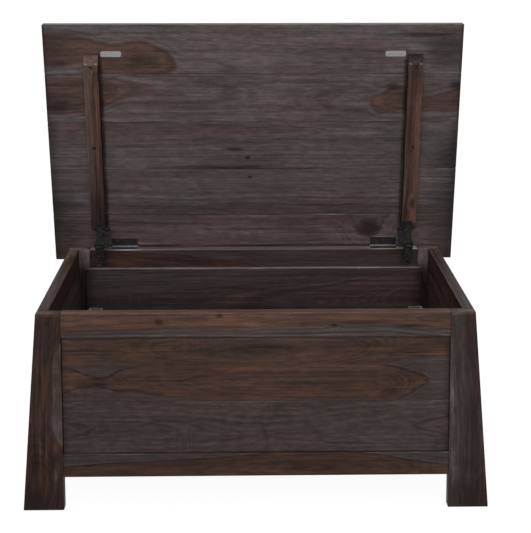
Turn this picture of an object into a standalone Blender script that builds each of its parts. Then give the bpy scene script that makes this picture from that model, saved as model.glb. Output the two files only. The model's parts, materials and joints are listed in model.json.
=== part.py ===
"""Storage trunk: plank legs that widen to the floor, framed panels and a plank lid on two folding stays.

Metres, +Z up, front towards -Y, +X to the right of someone facing the front.
The origin is on the floor, under the middle of the open trunk's box. The lid stands open, as stored.
Body pieces are modelled where they stand. Lid pieces are modelled closed, with the hinge axis at the
origin, and are then hung on an empty that lies on the hinge axis and holds the lid open.
"""
import math

import bmesh
import bpy
from mathutils import Matrix, Vector

# Body
BODY_WIDTH = 0.930
BODY_DEPTH = 0.530
RIM_HEIGHT = 0.457
FOOT_HEIGHT = 0.080
FRAME_THICKNESS = 0.025
RAIL_HEIGHT = 0.054
LEG_TOP_WIDTH = 0.052
LEG_FOOT_WIDTH = 0.0895
LEG_FLARE = 0.0495
TENON_LENGTH = 0.020
SIDE_TENON_LENGTH = 0.012
TENON_THICKNESS = 0.010
TENON_SHOULDER = 0.009

# Panels: a front or back panel fills its frame's opening, set back outside, and laps the frame inside
PANEL_RECESS = 0.007
PANEL_LAP = 0.008
PANEL_LIP = 0.012
LOWER_BOARD_HEIGHT = 0.120

# Floor
FLOOR_BOARDS = 3
FLOOR_THICKNESS = 0.015
CLEAT_SIZE = 0.020

# Lid
LID_SIDE_OVERHANG = 0.038
LID_REAR_OVERHANG = 0.038
LID_FRONT_OVERHANG = 0.024
LID_THICKNESS = 0.025
LID_BOARDS = 5
LID_GAP = 0.001
OPEN_ANGLE = math.radians(86.0)
BATTEN_FROM_SIDE = 0.051
BATTEN_WIDTH = 0.036
BATTEN_THICKNESS = 0.018
BATTEN_FROM_AXIS = 0.052
BATTEN_FROM_LID_FRONT = 0.070
BATTEN_BEVEL = 0.022
BATTEN_TIP = 0.004

# Butt hinges
HINGE_FROM_SIDE = 0.1125
HINGE_LENGTH = 0.065
LEAF_WIDTH = 0.022
LEAF_THICKNESS = 0.002
BARREL_RADIUS = 0.0035
HINGE_PIN_RADIUS = 0.0018
KNUCKLES = 5
PIN_HEAD_RADIUS = 0.0030
PIN_HEAD_HEIGHT = 0.0012
LEAF_SCREWS = 3

# Folding stays: a parallelogram of hinge axis, base pivot, knee and lid pivot
STAY_FROM_SIDE = 0.056
STAY_PIVOT_DROP = 0.030
STAY_PIVOT_STANDOFF = 0.0065
STAY_LID_REACH = 0.058
STAY_ARM_WIDTH = 0.020
STAY_ARM_RADIUS = 0.005
STAY_SHEET = 0.0016
STAY_LINK_RADIUS = 0.0045
STAY_PLATE_THICKNESS = 0.002
STAY_BASE_WIDTH = 0.022
STAY_BASE_HEIGHT = 0.036
STAY_BASE_BELOW_RIM = 0.006
STAY_LID_PLATE_WIDTH = 0.024
STAY_LID_PLATE_LENGTH = 0.046
STAY_LID_PLATE_SETBACK = 0.004
STAY_WEB_SETBACK = 0.008
RIVET_RADIUS = 0.0022
RIVET_HEAD_RADIUS = 0.0042
RIVET_HEAD_HEIGHT = 0.0012

# Catches on the front rail and the strike plates that meet them
CATCH_FROM_SIDE = 0.0985
CATCH_WIDTH = 0.030
CATCH_DEPTH = 0.020
CATCH_HEIGHT = 0.014
STRIKE_LENGTH = 0.049
STRIKE_WIDTH = 0.0135
STRIKE_CORNER = 0.004
STRIKE_THICKNESS = 0.0015
STRIKE_SETBACK = 0.0105

# Countersunk screws; a batten screw has its lid board's number and its distance from that board's rear edge
SCREW_HEAD_RADIUS = 0.0030
SCREW_SHANK_RADIUS = 0.0015
SCREW_HEAD_DEPTH = 0.0015
SCREW_LENGTH = 0.018
BATTEN_SCREW_LENGTH = 0.024
BATTEN_SCREW_SINK = 0.006
BATTEN_BORE_RADIUS = 0.0045
BATTEN_SCREW_PLACES = ((3, 0.0581), (1, 0.0186))

# Clearances and edges
JOINT_GAP = 0.0003
RUNNING_GAP = 0.0006
EDGE_EASE = 0.0010
METAL_EASE = 0.0003
ROUND_SIDES = 16
SMOOTH_ANGLE = math.radians(30.0)

# Places that follow from the sizes
LID_WIDTH = BODY_WIDTH + 2 * LID_SIDE_OVERHANG
LID_DEPTH = BODY_DEPTH + LID_FRONT_OVERHANG + LID_REAR_OVERHANG
AXIS_BEHIND_BODY = BARREL_RADIUS + JOINT_GAP
LID_REAR = LID_REAR_OVERHANG - AXIS_BEHIND_BODY
LID_FRONT = LID_REAR - LID_DEPTH
LID_BOARD_DEPTH = LID_DEPTH / LID_BOARDS
LID_FACE = LID_GAP / 2
LID_REACH_BACK = LID_REAR * math.cos(OPEN_ANGLE) + (LID_FACE + LID_THICKNESS) * math.sin(OPEN_ANGLE)
FRONT = -(BODY_DEPTH + AXIS_BEHIND_BODY + LID_REACH_BACK) / 2
BACK = FRONT + BODY_DEPTH
FRONT_INSIDE = FRONT + FRAME_THICKNESS
BACK_INSIDE = BACK - FRAME_THICKNESS
SIDE_OUTSIDE = BODY_WIDTH / 2
SIDE_INSIDE = SIDE_OUTSIDE - FRAME_THICKNESS
AXIS_Y = BACK + AXIS_BEHIND_BODY
AXIS_Z = RIM_HEIGHT + LID_GAP / 2
TOP_RAIL_LOW = RIM_HEIGHT - RAIL_HEIGHT
BOTTOM_RAIL_TOP = FOOT_HEIGHT + RAIL_HEIGHT
BOARD_JOINT = BOTTOM_RAIL_TOP + LOWER_BOARD_HEIGHT
BATTEN_FACE = LID_FACE - JOINT_GAP - BATTEN_THICKNESS
BATTEN_CENTRE = SIDE_INSIDE - BATTEN_FROM_SIDE
HINGE_CENTRE = SIDE_INSIDE - HINGE_FROM_SIDE
STAY_CENTRE = SIDE_INSIDE - STAY_FROM_SIDE
CATCH_CENTRE = SIDE_INSIDE - CATCH_FROM_SIDE
SIDES = {"left": -1, "right": 1}

# Finishes seen in the photo: colour, roughness, metallic
FINISHES = {
    "lid_wood": ((0.052, 0.042, 0.038), 0.55, 0.0),
    "batten_wood": ((0.062, 0.033, 0.024), 0.55, 0.0),
    "leg_wood": ((0.040, 0.024, 0.020), 0.50, 0.0),
    "rail_wood": ((0.066, 0.040, 0.030), 0.50, 0.0),
    "panel_wood": ((0.050, 0.034, 0.029), 0.55, 0.0),
    "inside_wood": ((0.036, 0.027, 0.023), 0.60, 0.0),
    "black_steel": ((0.010, 0.010, 0.011), 0.40, 0.8),
    "dark_steel": ((0.060, 0.060, 0.063), 0.35, 0.9),
    "zinc": ((0.300, 0.300, 0.310), 0.40, 0.9),
    "grey_plastic": ((0.190, 0.185, 0.180), 0.50, 0.0),
}


def clear_scene():
    for old in list(bpy.data.objects):
        bpy.data.objects.remove(old)


def finish(name, kind):
    """The piece's own material, in one of the finishes of the photo."""
    colour, roughness, metallic = FINISHES[kind]
    material = bpy.data.materials.new(name)
    material.use_nodes = True
    shader = material.node_tree.nodes["Principled BSDF"]
    shader.inputs["Base Color"].default_value = (*colour, 1.0)
    shader.inputs["Roughness"].default_value = roughness
    shader.inputs["Metallic"].default_value = metallic
    return material


def piece(name, kind, shape):
    """A named object with its own material, made of one shape."""
    mesh = bpy.data.meshes.new(name)
    shape.to_mesh(mesh)
    shape.free()
    mesh.materials.append(finish(name, kind))
    made = bpy.data.objects.new(name, mesh)
    bpy.context.collection.objects.link(made)
    return made


def prism(outline, start, end, axis="Y", ease=0.0):
    """An outline drawn in the plane square to the axis, drawn out along it, with its edges eased."""
    place = {
        "X": lambda a, b: (start, a, b),
        "Y": lambda a, b: (a, start, b),
        "Z": lambda a, b: (a, b, start),
    }[axis]
    along = {"X": Vector((1, 0, 0)), "Y": Vector((0, 1, 0)), "Z": Vector((0, 0, 1))}[axis]
    shape = bmesh.new()
    face = shape.faces.new([shape.verts.new(place(a, b)) for a, b in outline])
    drawn = bmesh.ops.extrude_face_region(shape, geom=[face])["geom"]
    corners = [part for part in drawn if isinstance(part, bmesh.types.BMVert)]
    bmesh.ops.translate(shape, verts=corners, vec=along * (end - start))
    bmesh.ops.recalc_face_normals(shape, faces=shape.faces)
    if ease:
        edges = shape.edges[:]
        bmesh.ops.bevel(shape, geom=edges, offset=ease, segments=1, affect="EDGES", clamp_overlap=True)
    return shape


def block(low, high, ease=0.0):
    """A square-cornered bar between two corners."""
    outline = [(low[0], low[1]), (high[0], low[1]), (high[0], high[1]), (low[0], high[1])]
    return prism(outline, low[2], high[2], "Z", ease)


def turned(profile, centre, direction):
    """A round piece: pairs of radius and height along the direction, from its start to its end."""
    shape = bmesh.new()
    rings = []
    for radius, height in profile:
        ring = []
        for step in range(ROUND_SIDES):
            angle = 2 * math.pi * step / ROUND_SIDES
            ring.append(shape.verts.new((radius * math.cos(angle), radius * math.sin(angle), height)))
        rings.append(ring)
    for lower, upper in zip(rings, rings[1:]):
        for step in range(ROUND_SIDES):
            after = (step + 1) % ROUND_SIDES
            shape.faces.new((lower[step], lower[after], upper[after], upper[step]))
    shape.faces.new(rings[0][::-1])
    shape.faces.new(rings[-1])
    turn = Vector((0, 0, 1)).rotation_difference(Vector(direction)).to_matrix().to_4x4()
    bmesh.ops.transform(shape, matrix=Matrix.Translation(centre) @ turn, verts=shape.verts)
    bmesh.ops.recalc_face_normals(shape, faces=shape.faces)
    return shape


def headed_pin(radius, head_radius, head_height, length, centre):
    """A pin along X with a head at each end. Its length is between the heads."""
    half = length / 2
    profile = [
        (head_radius, -half - head_height),
        (head_radius, -half),
        (radius, -half),
        (radius, half),
        (head_radius, half),
        (head_radius, half + head_height),
    ]
    return turned(profile, centre, (1, 0, 0))


def combine(target, shape, operation):
    """Cuts a shape from a piece, or fuses it on, and keeps the result as the piece's own mesh."""
    mesh = bpy.data.meshes.new("tool")
    shape.to_mesh(mesh)
    shape.free()
    tool = bpy.data.objects.new("tool", mesh)
    bpy.context.collection.objects.link(tool)
    change = target.modifiers.new(operation, "BOOLEAN")
    change.operation = operation
    change.solver = "EXACT"
    change.object = tool
    bpy.context.view_layer.update()
    result = target.evaluated_get(bpy.context.evaluated_depsgraph_get())
    old = target.data
    target.data = bpy.data.meshes.new_from_object(result)
    target.data.name = target.name
    target.modifiers.clear()
    bpy.data.objects.remove(tool)
    bpy.data.meshes.remove(mesh)
    bpy.data.meshes.remove(old)


def fuse(target, *shapes):
    for shape in shapes:
        combine(target, shape, "UNION")


def cut(target, *shapes):
    for shape in shapes:
        combine(target, shape, "DIFFERENCE")


def screw_shape(point, direction, length, gap=0.0):
    """A countersunk screw whose head ends at the point; with a gap it is the hole for that screw."""
    head = SCREW_HEAD_RADIUS + gap
    shank = SCREW_SHANK_RADIUS + gap
    profile = [(head, -gap), (head, 0.0), (shank, SCREW_HEAD_DEPTH), (shank, length + gap)]
    if not gap:
        profile = profile[1:]
    return turned(profile, point, direction)


def screw_holes(target, places):
    """Countersunk holes for screws. Each place is a point, a direction and a length."""
    for point, direction, length in places:
        cut(target, screw_shape(point, direction, length, JOINT_GAP))


def leg_inner(height):
    """Distance from the middle of the trunk to a leg's inner edge at a height."""
    at_floor = SIDE_OUTSIDE + LEG_FLARE - LEG_FOOT_WIDTH
    at_rim = SIDE_OUTSIDE - LEG_TOP_WIDTH
    return at_floor + (at_rim - at_floor) * height / RIM_HEIGHT


def between_legs(low, high, grow):
    """The outline between a frame's two legs, from one height to another, grown past the legs' edges."""
    return [
        (-leg_inner(low) - grow, low),
        (leg_inner(low) + grow, low),
        (leg_inner(high) + grow, high),
        (-leg_inner(high) - grow, high),
    ]


def rail_tenon(sign, low, high, near, gap=0.0):
    """The tenon at one end of a front or back rail; with a gap it is the mortise for it."""
    middle = near + FRAME_THICKNESS / 2
    half = TENON_THICKNESS / 2 + gap
    root = sign * (leg_inner(high) - TENON_SHOULDER)
    tip = sign * (leg_inner(high) + TENON_LENGTH + gap)
    return block(
        (min(root, tip), middle - half, low + TENON_SHOULDER - gap),
        (max(root, tip), middle + half, high - TENON_SHOULDER + gap),
    )


def side_tenon(sign, low, high, towards_front, gap=0.0):
    """The tenon at one end of a side rail; with a gap it is the mortise for it."""
    middle = sign * (SIDE_INSIDE + FRAME_THICKNESS / 2)
    half = TENON_THICKNESS / 2 + gap
    if towards_front:
        root, tip = FRONT_INSIDE + TENON_SHOULDER, FRONT_INSIDE - SIDE_TENON_LENGTH - gap
    else:
        root, tip = BACK_INSIDE - TENON_SHOULDER, BACK_INSIDE + SIDE_TENON_LENGTH + gap
    return block(
        (middle - half, min(root, tip), low + TENON_SHOULDER - gap),
        (middle + half, max(root, tip), high - TENON_SHOULDER + gap),
    )


RAIL_SPANS = {"bottom": (FOOT_HEIGHT, BOTTOM_RAIL_TOP), "top": (TOP_RAIL_LOW, RIM_HEIGHT)}
PANEL_SPANS = {"lower": (BOTTOM_RAIL_TOP, BOARD_JOINT), "upper": (BOARD_JOINT, TOP_RAIL_LOW)}
FRAMES = {"front": FRONT, "back": BACK - FRAME_THICKNESS}


def make_legs():
    for frame, near in FRAMES.items():
        for hand, sign in SIDES.items():
            outline = [
                (sign * leg_inner(0.0), 0.0),
                (sign * (SIDE_OUTSIDE + LEG_FLARE), 0.0),
                (sign * SIDE_OUTSIDE, RIM_HEIGHT),
                (sign * leg_inner(RIM_HEIGHT), RIM_HEIGHT),
            ]
            plank = prism(outline, near, near + FRAME_THICKNESS, "Y", EDGE_EASE)
            leg = piece(f"leg_{frame}_{hand}", "leg_wood", plank)
            for low, high in RAIL_SPANS.values():
                cut(leg, rail_tenon(sign, low, high, near, JOINT_GAP))
                cut(leg, side_tenon(sign, low, high, frame == "front", JOINT_GAP))


def make_frame_rails():
    """Front and back rails, with a tenon at each end. Returns them by name."""
    rails = {}
    for frame, near in FRAMES.items():
        for level, (low, high) in RAIL_SPANS.items():
            name = f"{frame}_{level}_rail"
            bar = prism(between_legs(low, high, -JOINT_GAP), near, near + FRAME_THICKNESS, "Y", EDGE_EASE)
            rails[name] = piece(name, "rail_wood", bar)
            fuse(rails[name], *[rail_tenon(sign, low, high, near) for sign in SIDES.values()])
    return rails


def make_side_rails():
    for hand, sign in SIDES.items():
        for level, (low, high) in RAIL_SPANS.items():
            inner, outer = sorted((sign * SIDE_INSIDE, sign * SIDE_OUTSIDE))
            near, far = FRONT_INSIDE + JOINT_GAP, BACK_INSIDE - JOINT_GAP
            bar = block((inner, near, low), (outer, far, high), EDGE_EASE)
            rail = piece(f"{hand}_{level}_rail", "rail_wood", bar)
            fuse(rail, side_tenon(sign, low, high, True), side_tenon(sign, low, high, False))


def make_frame_panels():
    """Front and back panels of two boards, stepped to fill the opening and lap the frame inside."""
    for frame in FRAMES:
        outwards = -1 if frame == "front" else 1
        outside = FRONT if frame == "front" else BACK
        face = outside - outwards * PANEL_RECESS
        seat = outside - outwards * (FRAME_THICKNESS + JOINT_GAP)
        inside = seat - outwards * PANEL_LIP
        for level, (low, high) in PANEL_SPANS.items():
            if level == "lower":
                fill = (low + JOINT_GAP, high - JOINT_GAP / 2)
                lap = (low - PANEL_LAP, high - JOINT_GAP / 2)
            else:
                fill = (low + JOINT_GAP / 2, high - JOINT_GAP)
                lap = (low + JOINT_GAP / 2, high + PANEL_LAP)
            lip = prism(between_legs(*lap, PANEL_LAP), seat, inside, "Y", EDGE_EASE)
            board = piece(f"{frame}_panel_{level}", "panel_wood", lip)
            middle = (seat + inside) / 2
            fuse(board, prism(between_legs(*fill, -JOINT_GAP), face, middle, "Y", EDGE_EASE))


def make_side_panels():
    """Side boards, flush with the rails inside and set back from them outside."""
    for hand, sign in SIDES.items():
        for level, (low, high) in PANEL_SPANS.items():
            inner, outer = sorted((sign * SIDE_INSIDE, sign * (SIDE_OUTSIDE - PANEL_RECESS)))
            bar = block(
                (inner, FRONT_INSIDE + JOINT_GAP, low + JOINT_GAP / 2),
                (outer, BACK_INSIDE - JOINT_GAP, high - JOINT_GAP / 2),
                EDGE_EASE,
            )
            piece(f"{hand}_panel_{level}", "panel_wood", bar)


def make_floor():
    """Floor boards that run from side to side, on a cleat along the front and another along the back."""
    half = SIDE_INSIDE - JOINT_GAP
    cleat_top = FOOT_HEIGHT + CLEAT_SIZE
    board_depth = (BACK_INSIDE - FRONT_INSIDE) / FLOOR_BOARDS
    for index in range(FLOOR_BOARDS):
        near = FRONT_INSIDE + index * board_depth
        bar = block(
            (-half, near + JOINT_GAP / 2, cleat_top + JOINT_GAP),
            (half, near + board_depth - JOINT_GAP / 2, cleat_top + JOINT_GAP + FLOOR_THICKNESS),
            EDGE_EASE,
        )
        piece(f"floor_board_{index + 1}", "inside_wood", bar)
    front_seat = FRONT_INSIDE + JOINT_GAP
    back_seat = BACK_INSIDE - JOINT_GAP
    for frame, near in {"front": front_seat, "back": back_seat - CLEAT_SIZE}.items():
        bar = block((-half, near, FOOT_HEIGHT), (half, near + CLEAT_SIZE, cleat_top), EDGE_EASE)
        piece(f"floor_cleat_{frame}", "inside_wood", bar)


def make_lid_boards():
    """Lid boards, from the front edge to the rear edge. Returns them."""
    boards = []
    for index in range(LID_BOARDS):
        near = LID_FRONT + index * LID_BOARD_DEPTH
        low = (-LID_WIDTH / 2, near + JOINT_GAP / 2, LID_FACE)
        high = (LID_WIDTH / 2, near + LID_BOARD_DEPTH - JOINT_GAP / 2, LID_FACE + LID_THICKNESS)
        boards.append(piece(f"lid_board_{index + 1}", "lid_wood", block(low, high, EDGE_EASE)))
    return boards


def make_battens():
    """Battens under the lid, bevelled at the front end. Returns them by side."""
    seat = LID_FACE - JOINT_GAP
    rear = -BATTEN_FROM_AXIS
    front = LID_FRONT + BATTEN_FROM_LID_FRONT
    outline = [
        (rear, seat),
        (rear, BATTEN_FACE),
        (front + BATTEN_BEVEL, BATTEN_FACE),
        (front, seat - BATTEN_TIP),
        (front, seat),
    ]
    battens = {}
    for hand, sign in SIDES.items():
        start = sign * BATTEN_CENTRE - BATTEN_WIDTH / 2
        shape = prism(outline, start, start + BATTEN_WIDTH, "X", EDGE_EASE)
        battens[hand] = piece(f"lid_batten_{hand}", "batten_wood", shape)
    return battens


def make_leaf(name, centre, axis, lifted, own_knuckles):
    """A hinge leaf with its knuckles. Lifted is 1 for a leaf above the axis and -1 for one below it."""
    axis_y, axis_z = axis
    left = centre - HINGE_LENGTH / 2
    near = axis_y - LEAF_WIDTH
    faces = sorted((axis_z + lifted * LID_FACE, axis_z + lifted * (LID_FACE + LEAF_THICKNESS)))
    plate_end = axis_y - BARREL_RADIUS - RUNNING_GAP
    plate = block((left, near, faces[0]), (left + HINGE_LENGTH, plate_end, faces[1]))
    leaf = piece(name, "dark_steel", plate)
    span = HINGE_LENGTH / KNUCKLES
    for index in own_knuckles:
        start = left + index * span + RUNNING_GAP / 2
        end = left + (index + 1) * span - RUNNING_GAP / 2
        tail = block((start, plate_end - LEAF_THICKNESS, faces[0]), (end, axis_y, faces[1]))
        barrel = [(BARREL_RADIUS, 0.0), (BARREL_RADIUS, end - start)]
        knuckle = turned(barrel, (start, axis_y, axis_z), (1, 0, 0))
        fuse(leaf, tail, knuckle)
    bore = HINGE_PIN_RADIUS + JOINT_GAP
    hole = [(bore, -RUNNING_GAP), (bore, HINGE_LENGTH + RUNNING_GAP)]
    cut(leaf, turned(hole, (left, axis_y, axis_z), (1, 0, 0)))
    step = HINGE_LENGTH / LEAF_SCREWS
    across = axis_y - (LEAF_WIDTH + BARREL_RADIUS + RUNNING_GAP) / 2
    first = centre - step * (LEAF_SCREWS - 1) / 2
    height = axis_z + lifted * LID_FACE
    places = [(first + index * step, across, height) for index in range(LEAF_SCREWS)]
    screw_holes(leaf, [(place, (0, 0, lifted), SCREW_LENGTH) for place in places])
    return leaf


def make_hinges(back_rail, rear_board):
    """Butt hinges let into the back rail and the rear lid board. Returns the lid's leaves."""
    body_axis = (AXIS_Y, AXIS_Z)
    lid_axis = (0.0, 0.0)
    lid_leaves = []
    for hand, sign in SIDES.items():
        centre = sign * HINGE_CENTRE
        half = HINGE_LENGTH / 2 + JOINT_GAP
        depth = LEAF_THICKNESS + JOINT_GAP
        near = -LEAF_WIDTH - JOINT_GAP
        barrel = BARREL_RADIUS + JOINT_GAP
        head = PIN_HEAD_HEIGHT + JOINT_GAP
        cut(back_rail, block(
            (centre - half, AXIS_Y + near, RIM_HEIGHT - depth),
            (centre + half, BACK + FRAME_THICKNESS, RIM_HEIGHT + depth),
        ))
        cut(rear_board, block(
            (centre - half, near, LID_FACE - depth),
            (centre + half, 0.0, LID_FACE + depth),
        ))
        cut(rear_board, block(
            (centre - half - head, -barrel, LID_FACE - depth),
            (centre + half + head, barrel, barrel),
        ))
        make_leaf(f"hinge_rim_leaf_{hand}", centre, body_axis, -1, range(0, KNUCKLES, 2))
        lid_leaves.append(make_leaf(f"hinge_lid_leaf_{hand}", centre, lid_axis, 1, range(1, KNUCKLES, 2)))
        grip = HINGE_LENGTH + 2 * JOINT_GAP
        place = (centre, AXIS_Y, AXIS_Z)
        pin = headed_pin(HINGE_PIN_RADIUS, PIN_HEAD_RADIUS, PIN_HEAD_HEIGHT, grip, place)
        piece(f"hinge_pin_{hand}", "dark_steel", pin)
    return lid_leaves


def arc(centre, radius, start, end):
    """Points round part of a circle, both ends included."""
    steps = ROUND_SIDES // 2
    points = []
    for step in range(steps + 1):
        angle = start + (end - start) * step / steps
        points.append((centre[0] + radius * math.cos(angle), centre[1] + radius * math.sin(angle)))
    return points


def bar_outline(vector, radius):
    """A bar with round ends, from the pivot at the origin to the pivot at the vector's end."""
    heading = math.atan2(vector.y, vector.x)
    quarter = math.pi / 2
    near_end = arc((0.0, 0.0), radius, heading + quarter, heading + 3 * quarter)
    far_end = arc(vector, radius, heading - quarter, heading + quarter)
    return near_end + far_end


def ear_outline(pivot, heading, reach, radius):
    """An ear that rises from a plate, along the heading backwards, and is round about its pivot."""
    quarter = math.pi / 2
    tip = arc(pivot, radius, heading - quarter, heading + quarter)
    back = Vector((math.cos(heading), math.sin(heading))) * reach
    return tip + [(tip[-1][0] - back.x, tip[-1][1] - back.y), (tip[0][0] - back.x, tip[0][1] - back.y)]


def cross_hole(centre_x, pivot):
    """The hole for a rivet across a stay."""
    radius = RIVET_RADIUS + JOINT_GAP
    return turned(
        [(radius, -STAY_ARM_WIDTH), (radius, STAY_ARM_WIDTH)],
        (centre_x, pivot[0], pivot[1]),
        (1, 0, 0),
    )


def rivet_shape(centre_x, pivot):
    """A rivet across a stay, with a head outside each cheek."""
    grip = STAY_ARM_WIDTH + 2 * JOINT_GAP
    place = (centre_x, pivot[0], pivot[1])
    return headed_pin(RIVET_RADIUS, RIVET_HEAD_RADIUS, RIVET_HEAD_HEIGHT, grip, place)


CHEEK_OUT = STAY_ARM_WIDTH / 2
CHEEK_IN = CHEEK_OUT - STAY_SHEET
INNER_WIDTH = CHEEK_IN - RUNNING_GAP
HINGE_POINT = Vector((AXIS_Y, AXIS_Z))
BASE_PLATE_FACE = BACK_INSIDE - JOINT_GAP - STAY_PLATE_THICKNESS
BASE_PIVOT = Vector((BASE_PLATE_FACE - STAY_PIVOT_STANDOFF, RIM_HEIGHT - STAY_PIVOT_DROP))
LID_PLATE_FACE = BATTEN_FACE - JOINT_GAP - STAY_PLATE_THICKNESS
LID_PIVOT_CLOSED = Vector((-STAY_LID_REACH, LID_PLATE_FACE - STAY_PIVOT_STANDOFF))
ARM_VECTOR = Matrix.Rotation(-OPEN_ANGLE, 2) @ LID_PIVOT_CLOSED
LINK_VECTOR = HINGE_POINT - BASE_PIVOT


def cheeks(centre_x, outline, inner, outer):
    """A pair of like plates across a stay."""
    return [
        prism(outline, centre_x - outer, centre_x - inner, "X"),
        prism(outline, centre_x + inner, centre_x + outer, "X"),
    ]


def make_stay_base(hand, centre_x):
    """The bracket on the back rail: a plate with two ears that stand forwards inside the arm."""
    top = RIM_HEIGHT - STAY_BASE_BELOW_RIM
    plate = block(
        (centre_x - STAY_BASE_WIDTH / 2, BASE_PLATE_FACE, top - STAY_BASE_HEIGHT),
        (centre_x + STAY_BASE_WIDTH / 2, BASE_PLATE_FACE + STAY_PLATE_THICKNESS, top),
        METAL_EASE,
    )
    base = piece(f"stay_base_{hand}", "black_steel", plate)
    reach = STAY_PIVOT_STANDOFF + STAY_PLATE_THICKNESS / 2
    outline = ear_outline(BASE_PIVOT, math.pi, reach, STAY_LINK_RADIUS)
    fuse(base, *cheeks(centre_x, outline, INNER_WIDTH - STAY_SHEET, INNER_WIDTH))
    cut(base, cross_hole(centre_x, BASE_PIVOT))
    middle = top - STAY_BASE_HEIGHT / 2
    spread = (STAY_BASE_HEIGHT - STAY_BASE_WIDTH / 2) / 2
    places = [(centre_x, BASE_PLATE_FACE, height) for height in (middle - spread, middle + spread)]
    screw_holes(base, [(place, (0, 1, 0), SCREW_LENGTH) for place in places])
    piece(f"stay_base_rivet_{hand}", "black_steel", rivet_shape(centre_x, BASE_PIVOT))


def make_stay_lid_bracket(hand, centre_x):
    """The bracket on the batten: a plate with two ears that stand outside the link."""
    rear = -BATTEN_FROM_AXIS - STAY_LID_PLATE_SETBACK
    plate = block(
        (centre_x - STAY_LID_PLATE_WIDTH / 2, rear - STAY_LID_PLATE_LENGTH, LID_PLATE_FACE),
        (centre_x + STAY_LID_PLATE_WIDTH / 2, rear, LID_PLATE_FACE + STAY_PLATE_THICKNESS),
        METAL_EASE,
    )
    bracket = piece(f"stay_lid_bracket_{hand}", "black_steel", plate)
    reach = STAY_PIVOT_STANDOFF + STAY_PLATE_THICKNESS / 2
    outline = ear_outline(LID_PIVOT_CLOSED, -math.pi / 2, reach, STAY_LINK_RADIUS)
    fuse(bracket, *cheeks(centre_x, outline, CHEEK_IN, CHEEK_OUT))
    cut(bracket, cross_hole(centre_x, LID_PIVOT_CLOSED))
    aside = STAY_LID_PLATE_WIDTH / 4
    far = rear - STAY_LID_PLATE_LENGTH + aside
    places = [(centre_x + offset, far, LID_PLATE_FACE) for offset in (-aside, aside)]
    screw_holes(bracket, [(place, (0, 0, 1), SCREW_LENGTH) for place in places])
    rivet = piece(f"stay_lid_rivet_{hand}", "black_steel", rivet_shape(centre_x, LID_PIVOT_CLOSED))
    return [bracket, rivet]


def make_stay_arm(hand, centre_x):
    """The arm: two cheeks with round ends and a web between them on the side away from the lid."""
    outline = bar_outline(ARM_VECTOR, STAY_ARM_RADIUS)
    left_cheek, right_cheek = cheeks(0.0, outline, CHEEK_IN, CHEEK_OUT)
    arm = piece(f"stay_arm_{hand}", "black_steel", left_cheek)
    along = ARM_VECTOR.normalized()
    across = Vector((-along.y, along.x))
    if across.dot(LINK_VECTOR) > 0:
        across.negate()
    near = along * STAY_WEB_SETBACK
    far = ARM_VECTOR - along * STAY_WEB_SETBACK
    outer = across * (STAY_ARM_RADIUS - METAL_EASE)
    inner = across * (STAY_ARM_RADIUS - METAL_EASE - STAY_SHEET)
    corners = [near + inner, near + outer, far + outer, far + inner]
    reach = CHEEK_IN + STAY_SHEET / 2
    web = prism([tuple(corner) for corner in corners], -reach, reach, "X")
    fuse(arm, right_cheek, web)
    cut(arm, cross_hole(0.0, (0.0, 0.0)), cross_hole(0.0, ARM_VECTOR))
    arm.location = (centre_x, *BASE_PIVOT)


def make_stay_link(hand, centre_x):
    """The link between the arm's knee and the lid bracket."""
    knee = BASE_PIVOT + ARM_VECTOR
    shape = prism(bar_outline(LINK_VECTOR, STAY_LINK_RADIUS), -INNER_WIDTH, INNER_WIDTH, "X")
    link = piece(f"stay_link_{hand}", "black_steel", shape)
    cut(link, cross_hole(0.0, (0.0, 0.0)), cross_hole(0.0, LINK_VECTOR))
    link.location = (centre_x, *knee)
    knee_rivet = piece(f"stay_knee_rivet_{hand}", "black_steel", rivet_shape(0.0, (0.0, 0.0)))
    knee_rivet.location = (centre_x, *knee)


def make_stays():
    """Folding stays. Returns the pieces that ride on the lid."""
    on_lid = []
    for hand, sign in SIDES.items():
        centre_x = sign * STAY_CENTRE
        make_stay_base(hand, centre_x)
        make_stay_arm(hand, centre_x)
        make_stay_link(hand, centre_x)
        on_lid += make_stay_lid_bracket(hand, centre_x)
    return on_lid


def make_catches():
    """Catches on the inside of the front rail, just under the strike plates of the closed lid."""
    top = RIM_HEIGHT + LID_GAP - STRIKE_THICKNESS - 2 * JOINT_GAP
    near = FRONT_INSIDE + JOINT_GAP
    for hand, sign in SIDES.items():
        centre = sign * CATCH_CENTRE
        low = (centre - CATCH_WIDTH / 2, near, top - CATCH_HEIGHT)
        high = (centre + CATCH_WIDTH / 2, near + CATCH_DEPTH, top)
        catch = piece(f"catch_{hand}", "grey_plastic", block(low, high, EDGE_EASE))
        places = [
            (centre + aside, near + CATCH_DEPTH, top - CATCH_HEIGHT / 2)
            for aside in (-CATCH_WIDTH / 4, CATCH_WIDTH / 4)
        ]
        screw_holes(catch, [(place, (0, -1, 0), CATCH_DEPTH) for place in places])


def plate_outline(centre, length, width, corner):
    """An oblong plate with round corners."""
    quarter = math.pi / 2
    outline = []
    for index, (along, across) in enumerate(((1, 1), (-1, 1), (-1, -1), (1, -1))):
        middle = (
            centre[0] + along * (length / 2 - corner),
            centre[1] + across * (width / 2 - corner),
        )
        outline += arc(middle, corner, index * quarter, (index + 1) * quarter)
    return outline


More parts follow.
